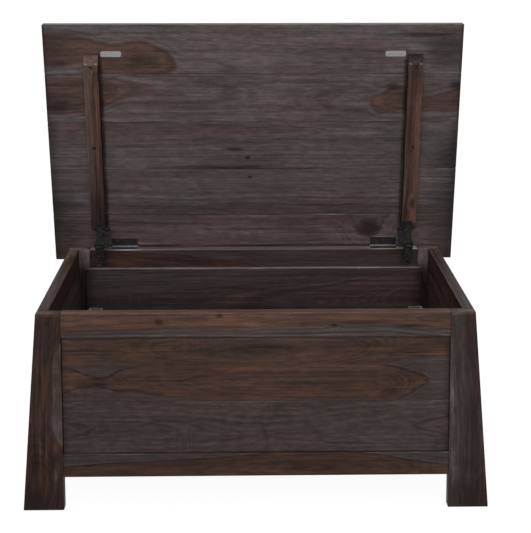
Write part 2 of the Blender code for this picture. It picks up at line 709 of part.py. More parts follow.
def make_strikes():
    """Strike plates under the lid, over the catches. Returns them."""
    catch_middle = FRONT_INSIDE + JOINT_GAP + CATCH_DEPTH / 2
    middle = catch_middle + STRIKE_SETBACK - AXIS_Y
    seat = LID_FACE - JOINT_GAP
    plates = []
    for hand, sign in SIDES.items():
        centre = sign * CATCH_CENTRE
        outline = plate_outline((centre, middle), STRIKE_LENGTH, STRIKE_WIDTH, STRIKE_CORNER)
        sheet = prism(outline, seat - STRIKE_THICKNESS, seat, "Z")
        plate = piece(f"strike_plate_{hand}", "zinc", sheet)
        places = [
            (centre + aside, middle, seat - STRIKE_THICKNESS)
            for aside in (-STRIKE_LENGTH / 4, STRIKE_LENGTH / 4)
        ]
        screw_holes(plate, [(place, (0, 0, 1), SCREW_LENGTH) for place in places])
        plates.append(plate)
    return plates


def make_batten_screws(boards, battens):
    """Screws sunk into the battens and on into the lid boards above them. Returns them."""
    screws = []
    for hand, sign in SIDES.items():
        for number, (board, from_rear_edge) in enumerate(BATTEN_SCREW_PLACES, start=1):
            across = LID_FRONT + board * LID_BOARD_DEPTH - from_rear_edge
            point = (sign * BATTEN_CENTRE, across, BATTEN_FACE + BATTEN_SCREW_SINK)
            bore = [(BATTEN_BORE_RADIUS, -BATTEN_SCREW_SINK - JOINT_GAP), (BATTEN_BORE_RADIUS, 0.0)]
            cut(battens[hand], turned(bore, point, (0, 0, 1)))
            for target in (battens[hand], boards[board - 1]):
                cut(target, screw_shape(point, (0, 0, 1), BATTEN_SCREW_LENGTH, JOINT_GAP))
            shape = screw_shape(point, (0, 0, 1), BATTEN_SCREW_LENGTH)
            screws.append(piece(f"batten_screw_{hand}_{number}", "dark_steel", shape))
    return screws


def shade_round_faces():
    """Shades every piece smooth, apart from its edges."""
    for mesh in bpy.data.meshes:
        mesh.shade_smooth()
        mesh.set_sharp_from_angle(angle=SMOOTH_ANGLE)


def hang_lid(pieces):
    """Hangs the closed lid's pieces on the hinge axis and opens it."""
    axis = bpy.data.objects.new("lid_axis", None)
    bpy.context.collection.objects.link(axis)
    axis.location = (0.0, AXIS_Y, AXIS_Z)
    axis.rotation_euler = (-OPEN_ANGLE, 0.0, 0.0)
    for part in pieces:
        part.parent = axis


def build():
    clear_scene()
    make_legs()
    rails = make_frame_rails()
    make_side_rails()
    make_frame_panels()
    make_side_panels()
    make_floor()
    make_catches()
    boards = make_lid_boards()
    battens = make_battens()
    lid_pieces = [*boards, *battens.values()]
    lid_pieces += make_hinges(rails["back_top_rail"], boards[-1])
    lid_pieces += make_stays()
    lid_pieces += make_strikes()
    lid_pieces += make_batten_screws(boards, battens)
    hang_lid(lid_pieces)
    shade_round_faces()


build()
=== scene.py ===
"""Looks of the storage trunk: dark stained hardwood boards, black lid stays and plain steel fittings.

Metres, in the frame of the solids: +Z up, front towards -Y, lid open.
A board has its own frame: along the grain, across it, and out of its face.
"""
import json
import math
import random

import bpy
from mathutils import Matrix, Vector


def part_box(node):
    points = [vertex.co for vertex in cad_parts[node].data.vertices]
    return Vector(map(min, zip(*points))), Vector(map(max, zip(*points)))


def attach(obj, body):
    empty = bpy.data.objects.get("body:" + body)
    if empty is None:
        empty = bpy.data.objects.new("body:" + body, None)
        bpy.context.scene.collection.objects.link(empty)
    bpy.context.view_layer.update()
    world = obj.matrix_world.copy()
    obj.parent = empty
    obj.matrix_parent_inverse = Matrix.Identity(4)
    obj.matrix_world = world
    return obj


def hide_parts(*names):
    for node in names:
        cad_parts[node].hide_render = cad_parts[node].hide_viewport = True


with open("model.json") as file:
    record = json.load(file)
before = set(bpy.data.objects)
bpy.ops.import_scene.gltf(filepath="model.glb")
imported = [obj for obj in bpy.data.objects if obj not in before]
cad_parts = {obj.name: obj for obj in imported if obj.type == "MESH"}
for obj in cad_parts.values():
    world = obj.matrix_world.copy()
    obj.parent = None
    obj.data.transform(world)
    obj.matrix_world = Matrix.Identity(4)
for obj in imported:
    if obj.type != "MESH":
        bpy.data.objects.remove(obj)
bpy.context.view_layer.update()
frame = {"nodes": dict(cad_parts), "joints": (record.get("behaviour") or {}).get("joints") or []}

# Camera, as it stood for the photo: film height and lens in millimetres
CAMERA_PLACE = (-0.0220, -2.6499, 1.2512)
CAMERA_PITCH = math.radians(16.2841)
CAMERA_YAW = math.radians(1.0130)
CAMERA_LENS = 80.008
FILM_HEIGHT = 36.0

# Studio, and for each lamp where it stands, how wide its light spreads in degrees, and its power
FLOOR_SIZE = 120.0
FLOOR_BOUNCE = 0.22
FLOOR_GLOW = 0.94
FLOOR_WHITE = 0.07
WORLD_LIGHT = 0.36
LAMPS = {
    "front_light": ((-0.15, -2.6, 1.75), 50.0, 2.35),
    "overhead_light": ((0.0, -0.8, 3.0), 120.0, 1.4),
    "back_light": ((0.4, 2.6, 1.6), 70.0, 1.2),
}

# Lid
LID_JOINT = next(joint for joint in frame["joints"] if joint["name"] == "lid_hinge")
LID_AXIS = Vector(LID_JOINT["pos_m"])
OPEN_ANGLE = math.radians(LID_JOINT["range_deg"][1])
LID_OPEN = Matrix.Translation(LID_AXIS) @ Matrix.Rotation(-OPEN_ANGLE, 4, "X")

# Directions of the grain and of the width of each kind of board
RIGHT = Vector((1, 0, 0))
BACKWARDS = Vector((0, 1, 0))
UPWARDS = Vector((0, 0, 1))
LID_FORWARDS = LID_OPEN.to_3x3() @ Vector((0, -1, 0))
SIDES = {"left": -1, "right": 1}

# Turns of a cylinder that lies towards the back or to the side
LYING_BACK = (math.pi / 2, 0.0, 0.0)
LYING_ASIDE = (0.0, math.pi / 2, 0.0)

# Lean of a leg's middle line, and the narrowing of half its width, for each metre up
LEG_LEAN = 0.0672
LEG_TAPER = 0.0410

# Hinges. A fitting's place is from the middle of the trunk, and on the lid from the hinge axis with the lid
# closed
HINGE_CENTRE = 0.3275
HINGE_SCREW_STEP = 0.065 / 3
LEAF_SCREWS_Y = -0.01305
LEAF_FACE = 0.0005
BARREL_RADIUS = 0.0037
BARREL_FADE = 0.0005

# Stays, and their brackets on the battens
STAY_CENTRE = 0.384
STAY_PLATE = 0.002
STAY_BASE_SPREAD = 0.0125
LINK_RADIUS = 0.0045
BRACKET_REAR = -0.056
BRACKET_SIZE = (0.024, 0.015)
BRACKET_SCREWS_Y = -0.0668
BRACKET_FACE = -0.0201
BRACKET_PIVOT = (-0.058, -0.0266)
BRACKET_EARS = (0.0084, 0.0100)
BRACKET_SPREAD = 0.006
BRACKET_ROUNDING = 0.0006
EAR_SIDES = 32

# The sprung side plate of a stay, from its knee: to the side, along the link and up from it
SPRING_PLATE_SIDE = (0.0128, 0.0258)
SPRING_PLATE_ALONG = (-0.014, 0.043)
SPRING_PLATE_UP = (0.0015, 0.0040)
SPRING_PLATE_HOLES = (-0.006, 0.020)
SPRING_PLATE_HOLE = 0.0028
HOLE_CUTTER = 0.02
HOLE_SIDES = 20
SPRING_LIP = (0.006, 0.004)
SPRING_OVERLAP = 0.002
SPRING_BRIDGE_SIDE = (0.0070, SPRING_PLATE_SIDE[0] + SPRING_OVERLAP)
SPRING_BRIDGE_ALONG = (0.028, 0.040)
SPRING_BRIDGE_LOW = 0.0005
SPRING_ROUNDING = 0.0005

# Catches and strike plates. The pole plates lie between two distances from the wall of the magnet's slot
CATCH_CENTRE = 0.3415
CATCH_SPREAD = 0.0075
CATCH_BORE = 0.0034
CATCH_BORE_DEPTH = 0.0016
BORE_SIDES = 24
HOUSING_ROUNDING = 0.0010
HOUSING_SEGMENTS = 3
MAGNET_SLOT = (0.019, 0.0088, 0.0050)
MAGNET_PLAY = 0.0004
MAGNET_ROOT = 0.0005
MAGNET_DROP = 0.0012
MAGNET_ROUNDING = 0.0002
POLE_PLATE = (0.0018, 0.0003)
POLE_DROP = 0.0004
STRIKE_Y = -0.488
STRIKE_FACE = -0.0013
STRIKE_SPREAD = 0.01225

# Countersunk screws with a cross in the head
SCREW_HEAD = 0.0030
SCREW_SHANK = 0.0014
SCREW_SINK = 0.0014
SCREW_STEM = 0.0040
SCREW_CROWN = 0.0002
SCREW_INSET = SCREW_HEAD / 4
SCREW_SIDES = 24
SCREW_SEED = 5
CROSS_LENGTH = 0.0032
CROSS_WIDTH = 0.0007
CROSS_DEPTH = 0.0007
UPRIGHT = 0.9
SMOOTH_ANGLE = math.radians(35.0)

# Layout of a node tree
NODES_PER_ROW = 14
NODE_STEP = (190, 280)


def shown_colour(red, green, blue):
    """A colour as it shows on a screen, from 0 to 255, made ready for a shader."""
    parts = []
    for value in (red, green, blue):
        share = value / 255
        parts.append(share / 12.92 if share <= 0.04045 else ((share + 0.055) / 1.055) ** 2.4)
    return (*parts, 1.0)


# Woods: sapwood, its darker rings, heartwood, its darker rings, and the warm streaks in the heartwood
WOODS = {
    "lid": {
        "Sap": shown_colour(84, 76, 76),
        "Sap Ring": shown_colour(64, 56, 56),
        "Heart": shown_colour(74, 57, 53),
        "Heart Ring": shown_colour(54, 42, 40),
        "Warm Streak": shown_colour(91, 65, 55),
    },
    "batten": {
        "Sap": shown_colour(76, 62, 58),
        "Sap Ring": shown_colour(56, 44, 41),
        "Heart": shown_colour(72, 53, 48),
        "Heart Ring": shown_colour(50, 38, 34),
        "Warm Streak": shown_colour(98, 64, 50),
    },
    "rail": {
        "Sap": shown_colour(78, 70, 69),
        "Sap Ring": shown_colour(54, 48, 48),
        "Heart": shown_colour(84, 62, 54),
        "Heart Ring": shown_colour(62, 46, 41),
        "Warm Streak": shown_colour(106, 74, 58),
    },
    "panel": {
        "Sap": shown_colour(70, 61, 60),
        "Sap Ring": shown_colour(50, 43, 43),
        "Heart": shown_colour(72, 54, 48),
        "Heart Ring": shown_colour(46, 35, 32),
        "Warm Streak": shown_colour(94, 64, 48),
    },
    "leg": {
        "Sap": shown_colour(68, 58, 55),
        "Sap Ring": shown_colour(50, 43, 41),
        "Heart": shown_colour(59, 42, 37),
        "Heart Ring": shown_colour(42, 30, 27),
        "Warm Streak": shown_colour(82, 54, 41),
    },
    "inside": {
        "Sap": shown_colour(64, 54, 52),
        "Sap Ring": shown_colour(46, 38, 37),
        "Heart": shown_colour(62, 45, 40),
        "Heart Ring": shown_colour(42, 31, 28),
        "Warm Streak": shown_colour(84, 54, 40),
    },
}
KNOT_COLOUR = (0.02, 0.012, 0.01, 1.0)
WOOD_SPECULAR = 0.10

# Fittings: base colour, colour where it is worn, wear, roughness, metallic and specular level
FITTING_FINISHES = {
    "black_steel": (shown_colour(14, 14, 15), shown_colour(50, 50, 49), 0.80, 0.66, 0.0, 0.12),
    # The black paint made lighter for the stay arms and bases, which lie in the trunk's shade: painted light
    "arm_steel_painted_light": (shown_colour(32, 31, 29), shown_colour(86, 84, 81), 0.80, 0.66, 0.0, 0.12),
    "dark_steel": (shown_colour(45, 44, 43), shown_colour(84, 83, 82), 0.45, 0.46, 0.75, 0.40),
    "zinc": (shown_colour(138, 135, 135), shown_colour(112, 110, 110), 0.45, 0.44, 0.80, 0.50),
    "grey_plastic": (shown_colour(58, 52, 50), shown_colour(47, 43, 42), 0.30, 0.55, 0.0, 0.30),
}
# Round the hinge's axis the steel is lighter: knuckles rubbed bright, and a painted sheen on the round barrel
HINGE_BARREL = shown_colour(76, 78, 82)
FITTING_PIECES = {
    "arm_steel_painted_light": ("stay_base", "stay_base_rivet", "stay_arm", "stay_knee_rivet"),
    "black_steel": ("stay_link", "stay_lid_bracket", "stay_lid_rivet"),
    "hinge_steel": ("hinge_rim_leaf", "hinge_lid_leaf", "hinge_pin"),
    "zinc": ("strike_plate",),
}
BATTEN_SCREWS = (1, 2)

# Relief of wood and metal: strength and depth
WOOD_BUMP = (0.35, 0.0006)
METAL_BUMP = (0.25, 0.0002)

# Marks made of noise: grains to the metre along and across, detail, roughness, and the noise where a mark
# starts and where it is full
MARKS = {
    "Streaks": (5.0, 230.0, 4.0, 0.60, 0.30, 0.70),
    "Broad Streaks": (2.4, 62.0, 3.0, 0.55, 0.30, 0.70),
    "Patches": (4.0, 14.0, 2.0, 0.50, 0.30, 0.70),
    "Mottle": (42.0, 120.0, 3.0, 0.60, 0.30, 0.70),
    "Tint": (2.8, 26.0, 3.0, 0.50, 0.42, 0.68),
    "Vessels": (7.0, 430.0, 2.0, 0.50, 0.60, 0.70),
    "Pores": (60.0, 2100.0, 1.0, 0.50, 0.64, 0.72),
    "Saw Marks": (190.0, 14.0, 1.0, 0.50, 0.42, 0.60),
    "Sawn Patches": (3.0, 8.0, 1.0, 0.50, 0.56, 0.74),
    "Rubbed Stretches": (22.0, 60.0, 3.0, 0.50, 0.36, 0.62),
    "Open Joints": (5.0, 14.0, 2.0, 0.50, 0.40, 0.62),
    "Scuffs": (210.0, 260.0, 4.0, 0.70, 0.50, 0.68),
}
SWING_REACH = 3.0
VESSEL_SHARE = 0.8
SAWN_SHARE = 0.6
FIBRE_BEND = 0.0035

# A board's seed moves its patterns far off, and each further tongue of heartwood moves on from there. The
# seeds of the battens, the legs and the boards of the carcass count on from their own numbers
SEED_STEP = (17.3, 5.9, 11.1)
RING_SEED_STEP = 31.7
TONGUE_SEED_STEP = 3.7
BATTEN_SEED = 11
LEG_SEED = 21
CARCASS_SEED = 30

# Heartwood and rings. A pair is where a mark starts and where it is full
HEART_EDGE = (-0.0018, 0.0024)
HEART_RAGGED = 0.0022
HEART_SPAN = 0.2
FLATTEST_HEART = 0.15
TIP_WIDTH = 0.012
TIP_RETREAT = 0.006
RING_WOBBLE = 0.0009
BAND_EDGE = (0.30, 0.70)
LINE_FADE = (0.08, 0.0)
LINE_BASE = 0.4
OUTLINE_INSET = 0.4
OUTLINE_FADE = (1.0, 0.2)
OUTLINE_MIDDLE = (0.10, 0.28)
HALO_PLACE = 0.0030
HALO_FADE = (0.0028, 0.0006)

# Heartwood of a chance shape, in shares of half the board's length and width
CHANCE_PLACES = (-1.0, -0.5, 0.0, 0.5, 1.0)
CHANCE_CENTRE = 0.5
CHANCE_WIDTH = (0.5, 1.1)
MIDDLE_WIDTH = 0.35
WIDTH_UNEVEN = 0.15
CENTRE_UNEVEN = 0.2

# Knots and soft spots, in shares of their own size
KNOT_RAGGED = 0.22
KNOT_CORE = (1.30, 0.55)
KNOT_RIM = (0.45, 0.0)
KNOT_SWELL = (3.2, 0.4)
SPOT_RAGGED = 0.30
SPOT_FADE = (1.35, 0.15)
SPOT_DEPTH = (-0.95, -0.60)

# Edges of a board
RUB_FADE = (0.0026, 0.0006)
GROOVE_START = (0.0, 0.0002)
GROOVE_END = (0.0018, 0.0008)
# Fade of the mask along a board's top face, which carries painted light there, and painted shade where its
# value is below zero
PAINTED_TOP_FADE = (0.0020, 0.0004)

# How far each mark changes the stain's colour, roughness and relief
SAP_LINES = -0.16
LINED_DEPTH = -0.36
WARM_SHARE = 0.4
HALO_LIGHT = 0.5
WARM_SPOT = 0.42
DARK_SPOT = -0.70
LIGHT_SPOT = 0.9
SPOT_FADING = 0.2
MOST_FADED = 0.45
GRAIN_DEPTHS = {"Streaks": 0.46, "Broad Streaks": 0.30, "Fibres": 0.34, "Patches": 0.22, "Mottle": 0.26}
MARK_DEPTHS = {"Pores": 0.40, "Saw Marks": 0.32, "Knot Rim": 0.30, "Soaked": 0.5}
KNOT_SHARE = 0.95
RUB_LIGHT = 0.4
WOOD_ROUGHNESS = 0.50
ROUGHNESS_CHANGES = {"Streaks": 0.10, "Pores": 0.15, "Rubbed": -0.08}
RELIEF = {"Streaks": 0.5, "Fibres": 0.4, "Pores": -0.6, "Saw Marks": -0.3}

# How far brush marks and scuffs change a metal
BRUSH_LIGHT = 0.5
BRUSH_ROUGHNESS = 0.16
SCUFF_ROUGHNESS = 0.08
SCUFF_RELIEF = -0.5


class NodeNet:
    """Adds nodes to one tree and joins them up, so that each step of a formula is one line."""

    def __init__(self, tree):
        self.tree = tree

    def add(self, kind, inputs=None, **settings):
        """A node with its settings. Each input is a plain value or another node's output."""
        node = self.tree.nodes.new(kind)
        row, column = divmod(len(self.tree.nodes), NODES_PER_ROW)
        node.location = (column * NODE_STEP[0], -row * NODE_STEP[1])
        for name, value in settings.items():
            setattr(node, name, value)
        for socket, value in (inputs or {}).items():
            self.feed(node.inputs[socket], value)
        return node

    def feed(self, socket, value):
        if isinstance(value, bpy.types.NodeSocket):
            self.tree.links.new(value, socket)
        else:
            socket.default_value = value

    def calc(self, operation, *values):
        return self.add("ShaderNodeMath", dict(enumerate(values)), operation=operation).outputs[0]

    def plus(self, first, second):
        return self.calc("ADD", first, second)

    def minus(self, first, second):
        return self.calc("SUBTRACT", first, second)

    def times(self, first, second):
        return self.calc("MULTIPLY", first, second)

    def over(self, first, second):
        return self.calc("DIVIDE", first, second)

    def size(self, value):
        return self.calc("ABSOLUTE", value)

    def scaled(self, value, factor, offset):
        """A value times a factor, with an offset added."""
        return self.calc("MULTIPLY_ADD", value, factor, offset)

    def about_one(self, value, depth):
        """Takes a value from 0 to 1 to a factor about one, as far to either side as half the depth."""
        return self.scaled(value, depth, 1.0 - depth / 2)

    def about_half(self, value, strength):
        """Makes a value from 0 to 1 stronger or weaker about its middle."""
        return self.scaled(value, strength, 0.5 - 0.5 * strength)

    def distance(self, first, second):
        """How far a place lies from an axis, from its two distances aside."""
        return self.calc("SQRT", self.plus(self.times(first, first), self.times(second, second)))

    def vector(self, operation, *values):
        return self.add("ShaderNodeVectorMath", dict(enumerate(values)), operation=operation).outputs[0]

    def split(self, place):
        return self.add("ShaderNodeSeparateXYZ", {0: place}).outputs

    def ease(self, value, start, end, low=0.0, high=1.0):
        """Runs smoothly from low to high as the value goes up or down from start to end."""
        inputs = {"Value": value, "From Min": start, "From Max": end, "To Min": low, "To Max": high}
        return self.add("ShaderNodeMapRange", inputs, interpolation_type="SMOOTHSTEP").outputs[0]

    def noise(self, place, along, across, detail=2.0, roughness=0.5):
        """Noise about 0.5, with so many grains to the metre along the board and across it."""
        stretched = self.vector("MULTIPLY", place, (along, across, across))
        inputs = {"Vector": stretched, "Scale": 1.0, "Detail": detail, "Roughness": roughness}
        return self.add("ShaderNodeTexNoise", inputs).outputs[0]

    def line_noise(self, value, detail, roughness=0.5):
        """Noise that changes with one value alone."""
        inputs = {"W": value, "Scale": 1.0, "Detail": detail, "Roughness": roughness}
        return self.add("ShaderNodeTexNoise", inputs, noise_dimensions="1D").outputs[0]

    def marks(self, place, kind):
        along, across, detail, roughness, start, full = MARKS[kind]
        return self.ease(self.noise(place, along, across, detail, roughness), start, full)

    def swing(self, place, along, across, reach, detail=1.0):
        """Noise that swings to either side of zero, about as far as the reach."""
        around = self.minus(self.noise(place, along, across, detail), 0.5)
        return self.times(around, self.times(reach, SWING_REACH))

    def blend(self, share, under, over, mode="MIX"):
        inputs = {0: share, 6: under, 7: over}
        return self.add("ShaderNodeMix", inputs, data_type="RGBA", blend_type=mode).outputs[2]

    def shade(self, colour, factor):
        return self.blend(1.0, colour, factor, "MULTIPLY")

    def lit(self, colour, mask, change):
        """A colour made lighter by a mask, or darker where the change is below zero."""
        return self.shade(colour, self.scaled(mask, change, 1.0))

    def faded(self, colour, share):
        """A colour turned towards its own grey."""
        return self.blend(share, colour, self.add("ShaderNodeRGBToBW", {0: colour}).outputs[0])

    def curve(self, value, points, span, reach):
        """A smooth curve through points, each a place from -span to span and a value from -reach to reach."""
        share = self.scaled(value, 0.5 / span, 0.5)
        node = self.add("ShaderNodeFloatCurve", {"Value": share})
        line = node.mapping.curves[0]
        while len(line.points) < len(points):
            line.points.new(0.5, 0.5)
        for knee, (place, height) in zip(line.points, points):
            knee.location = (0.5 + 0.5 * place / span, 0.5 + 0.5 * height / reach)
        node.mapping.extend = "HORIZONTAL"
        node.mapping.update()
        return self.scaled(node.outputs[0], 2 * reach, -reach)

    def most(self, values):
        """The highest of several values, or zero if there are none."""
        highest = 0.0
        for number, value in enumerate(values):
            highest = self.calc("MAXIMUM", highest, value) if number else value
        return highest


def node_group(name, build, results, places=("Place",), values=(), colours=()):
    """A shader node group with named sockets. The build function returns an output socket for each result."""
    tree = bpy.data.node_groups.new(name, "ShaderNodeTree")
    for kind, labels in (("Vector", places), ("Float", values), ("Color", colours)):
        for label in labels:
            tree.interface.new_socket(label, in_out="INPUT", socket_type=f"NodeSocket{kind}")
    for label in results:
        kind = "Color" if label == "Color" else "Float"
        tree.interface.new_socket(label, in_out="OUTPUT", socket_type=f"NodeSocket{kind}")
    given = tree.nodes.new("NodeGroupInput").outputs
    made = build(NodeNet(tree), given)
    last = tree.nodes.new("NodeGroupOutput")
    for label in results:
        tree.links.new(made[label], last.inputs[label])
    return tree


def seeded(net, given):
    """The place, moved far off by the board's own seed, so that no two boards share a pattern."""
    far = net.add("ShaderNodeVectorMath", {0: SEED_STEP, "Scale": given["Seed"]}, operation="SCALE")
    return net.vector("ADD", given["Place"], far.outputs[0])


def build_growth_rings(net, given):
    """Rings about a pith that runs behind the face, as deep as the heartwood's width on the face asks."""
    board = net.split(given["Place"])
    place = seeded(net, given)
    drift = net.swing(place, along=5.0, across=9.0, reach=given["Waver"])
    aside = net.plus(net.minus(board["Y"], given["Centre"]), drift)
    half = given["Half Width"]
    heart = given["Heart Radius"]
    depth_square = net.minus(net.times(heart, heart), net.times(half, net.size(half)))
    depth = net.calc("SQRT", net.calc("MAXIMUM", depth_square, 0.0))
    behind = net.plus(net.minus(board["Z"], given["Face"]), depth)
    radius = net.plus(net.distance(aside, behind), given["Swell"])
    radius = net.plus(radius, net.swing(place, along=16.0, across=70.0, reach=RING_WOBBLE, detail=2.0))
    slope = net.calc("MAXIMUM", net.over(net.size(half), heart), FLATTEST_HEART)
    inside = net.plus(net.over(net.minus(heart, radius), slope), given["Ragged"])
    inside = net.minus(inside, net.ease(half, TIP_WIDTH, 0.0, 0.0, TIP_RETREAT))
    turns = net.plus(net.over(radius, given["Ring Width"]), net.times(given["Seed"], RING_SEED_STEP))
    bands = net.ease(net.line_noise(turns, detail=3.0, roughness=0.65), *BAND_EDGE)
    lines = net.line_noise(net.over(radius, given["Line Step"]), detail=1.0)
    from_line = net.size(net.minus(lines, 0.5))
    width = given["Outline Width"]
    from_outline = net.over(net.size(net.scaled(width, -OUTLINE_INSET, inside)), width)
    from_halo = net.size(net.plus(inside, HALO_PLACE))
    in_bands = net.scaled(bands, 1.0 - LINE_BASE, LINE_BASE)
    return {
        "Heart Mask": net.ease(net.over(inside, given["Softness"]), *HEART_EDGE),
        "Outline": net.ease(from_outline, *OUTLINE_FADE),
        "Halo": net.ease(from_halo, *HALO_FADE),
        "Bands": bands,
        "Lines": net.times(net.ease(from_line, *LINE_FADE), in_bands),
    }


def build_fibres(net, given):
    """Streaks, fibres, open vessels, uneven patches and saw marks. All but the last run along the grain."""
    place = seeded(net, given)
    bend = net.swing(place, along=4.0, across=9.0, reach=FIBRE_BEND)
    place = net.vector("ADD", place, net.add("ShaderNodeCombineXYZ", {1: bend}).outputs[0])
    vessels = net.times(net.marks(place, "Vessels"), VESSEL_SHARE)
    sawn = net.times(net.marks(place, "Sawn Patches"), SAWN_SHARE)
    sawn = net.calc("MAXIMUM", sawn, given["Sawn Spot"])
    kinds = ("Streaks", "Broad Streaks", "Patches", "Mottle", "Tint")
    made = {label: net.marks(place, label) for label in kinds}
    made["Fibres"] = net.noise(place, along=24.0, across=1500.0)
    made["Pores"] = net.calc("MAXIMUM", net.marks(place, "Pores"), vessels)
    made["Saw Marks"] = net.times(net.marks(place, "Saw Marks"), sawn)
    return made


def from_middle(net, given):
    """How far a place is from the middle of an oval mark: 1 on the mark's edge."""
    offset = net.split(net.vector("SUBTRACT", given["Place"], given["Middle"]))
    along = net.over(offset["X"], given["Half Length"])
    across = net.over(offset["Y"], given["Half Width"])
    return net.distance(along, across)


def build_knot(net, given):
    """A knot: its dark core and its rim, and the swelling of the rings that go round it."""
    ragged = net.swing(given["Place"], along=50.0, across=110.0, reach=KNOT_RAGGED, detail=3.0)
    distance = net.plus(from_middle(net, given), ragged)
    return {
        "Knot Core": net.ease(distance, *KNOT_CORE),
        "Knot Rim": net.ease(net.size(net.minus(distance, 1.0)), *KNOT_RIM),
        "Swell": net.times(net.ease(distance, *KNOT_SWELL), given["Half Width"]),
    }


def build_soft_spot(net, given):
    """A patch with no edge on the outer face and the sides, drawn out along the grain."""
    ragged = net.swing(given["Place"], along=18.0, across=160.0, reach=SPOT_RAGGED, detail=2.0)
    mask = net.ease(net.plus(from_middle(net, given), ragged), *SPOT_FADE)
    depth = net.over(net.split(given["Place"])["Z"], given["Half Thickness"])
    mask = net.times(mask, net.ease(depth, *SPOT_DEPTH))
    return {"Mask": net.times(mask, given["Strength"])}


def build_board_edges(net, given):
    """Rubbed arrises, ends that soaked up more stain, dark grooves where boards meet, and the upper edge,
    along which light is painted.
    """
    along, across, out = net.split(given["Place"])
    half_along, half_across, half_out = net.split(given["Half Size"])
    narrowing = net.times(given["Taper"], net.minus(half_along, along))
    to_end = net.minus(half_along, net.size(along))
    to_side = net.minus(net.minus(half_across, narrowing), net.size(across))
    to_face = net.minus(half_out, net.size(out))
    nearer = net.calc("MINIMUM", to_side, to_face)
    farther = net.calc("MINIMUM", net.calc("MAXIMUM", to_side, to_face), to_end)
    to_arris = net.calc("MAXIMUM", nearer, farther)
    place = seeded(net, given)
    groove = net.times(net.ease(to_side, *GROOVE_START), net.ease(to_side, *GROOVE_END))
    return {
        "Rubbed": net.times(net.ease(to_arris, *RUB_FADE), net.marks(place, "Rubbed Stretches")),
        "Soaked": net.ease(to_end, given["Soak Depth"], 0.0),
        "Groove": net.times(groove, net.marks(place, "Open Joints")),
        "Painted Top Edge": net.ease(net.minus(half_across, across), *PAINTED_TOP_FADE),
    }


def build_stain(net, given):
    """The colour, roughness and relief of a stained board, put together from its figure."""
    bands = given["Bands"]
    lines = given["Lines"]
    sap = net.blend(net.times(bands, given["Sap Contrast"]), given["Sap"], given["Sap Ring"])
    sap = net.blend(net.times(given["Tint"], given["Sap Tint"]), sap, given["Heart"])
    sap = net.shade(sap, net.scaled(lines, SAP_LINES, given["Sap Light"]))
    heart = net.blend(net.times(bands, given["Heart Contrast"]), given["Heart"], given["Heart Ring"])
    warm = net.times(given["Streaks"], given["Patches"])
    heart = net.blend(net.times(warm, WARM_SHARE), heart, given["Warm Streak"])
    heart = net.lit(heart, lines, given["Line Depth"])
    colour = net.blend(net.times(given["Heart Mask"], given["Heart Strength"]), sap, heart)
    colour = net.shade(colour, net.minus(1.0, net.times(given["Outline"], given["Outline Depth"])))
    colour = net.lit(colour, net.times(given["Halo"], given["Outline Depth"]), HALO_LIGHT)
    # Warm, dark and light spots give the wood's tone, and some dark and light spots are painted shade and
    # painted light
    colour = net.blend(net.times(given["Warm Spot"], WARM_SPOT), colour, given["Warm Streak"])
    colour = net.lit(colour, given["Dark Spot"], DARK_SPOT)
    colour = net.faded(colour, net.calc("MINIMUM", net.times(given["Light Spot"], SPOT_FADING), MOST_FADED))
    colour = net.lit(colour, given["Light Spot"], LIGHT_SPOT)
    for label, depth in GRAIN_DEPTHS.items():
        colour = net.shade(colour, net.about_one(given[label], depth))
    for label, depth in MARK_DEPTHS.items():
        colour = net.lit(colour, given[label], -depth)
    colour = net.blend(net.times(given["Knot Core"], KNOT_SHARE), colour, given["Knot"])
    colour = net.lit(colour, given["Rubbed"], RUB_LIGHT)
    # Painted light and a painted grey sheen on the top face; where the value is below zero, painted shade
    colour = net.faded(colour, net.times(given["Painted Top Edge"], given["Painted Top Sheen"]))
    colour = net.lit(colour, given["Painted Top Edge"], given["Painted Top Light"])
    colour = net.shade(colour, net.minus(1.0, net.times(given["Groove"], given["Groove Depth"])))
    colour = net.shade(colour, given["Depth of Stain"])
    roughness = WOOD_ROUGHNESS
    for label, change in ROUGHNESS_CHANGES.items():
        roughness = net.scaled(given[label], change, roughness)
    height = 0.0
    for label, change in RELIEF.items():
        height = net.scaled(given[label], change, height)
    return {"Color": colour, "Roughness": roughness, "Height": height}


def build_metal_wear(net, given):
    """Fine brush marks along one way, and scuffs where another colour shows through."""
    brush = net.noise(given["Place"], along=60.0, across=1600.0)
    scuffs = net.times(net.marks(given["Place"], "Scuffs"), given["Wear"])
    colour = net.blend(scuffs, given["Base"], given["Worn"])
    roughness = net.scaled(brush, BRUSH_ROUGHNESS, net.minus(given["Roughness"], BRUSH_ROUGHNESS / 2))
    return {
        "Color": net.shade(colour, net.about_one(brush, BRUSH_LIGHT)),
        "Roughness": net.scaled(scuffs, SCUFF_ROUGHNESS, roughness),
        "Height": net.scaled(scuffs, SCUFF_RELIEF, brush),
    }


RING_MARKS = ("Heart Mask", "Outline", "Halo", "Bands", "Lines")
FIBRE_MARKS = ("Streaks", "Broad Streaks", "Fibres", "Pores", "Patches", "Mottle", "Tint", "Saw Marks")
KNOT_MARKS = ("Knot Core", "Knot Rim", "Swell")
EDGE_MARKS = ("Rubbed", "Soaked", "Groove", "Painted Top Edge")
SPOT_MARKS = {"Warm Spot": "warm", "Dark Spot": "dark", "Light Spot": "light"}
SPOT_KINDS = (*SPOT_MARKS.values(), "sawn", "lined", "closed")
FINISH_RESULTS = ("Color", "Roughness", "Height")

# The values of the stain that a board's figure gives, with their names there, among them the painted light
# and painted grey sheen on a board's top face
STAIN_VALUES = {
    "Heart Strength": "strength", "Heart Contrast": "heart_contrast", "Sap Contrast": "sap_contrast",
    "Sap Tint": "tint", "Sap Light": "sap_light", "Outline Depth": "outline", "Painted Top Light": "upper",
    "Painted Top Sheen": "painted_sheen", "Groove Depth": "groove", "Depth of Stain": "stain",
}

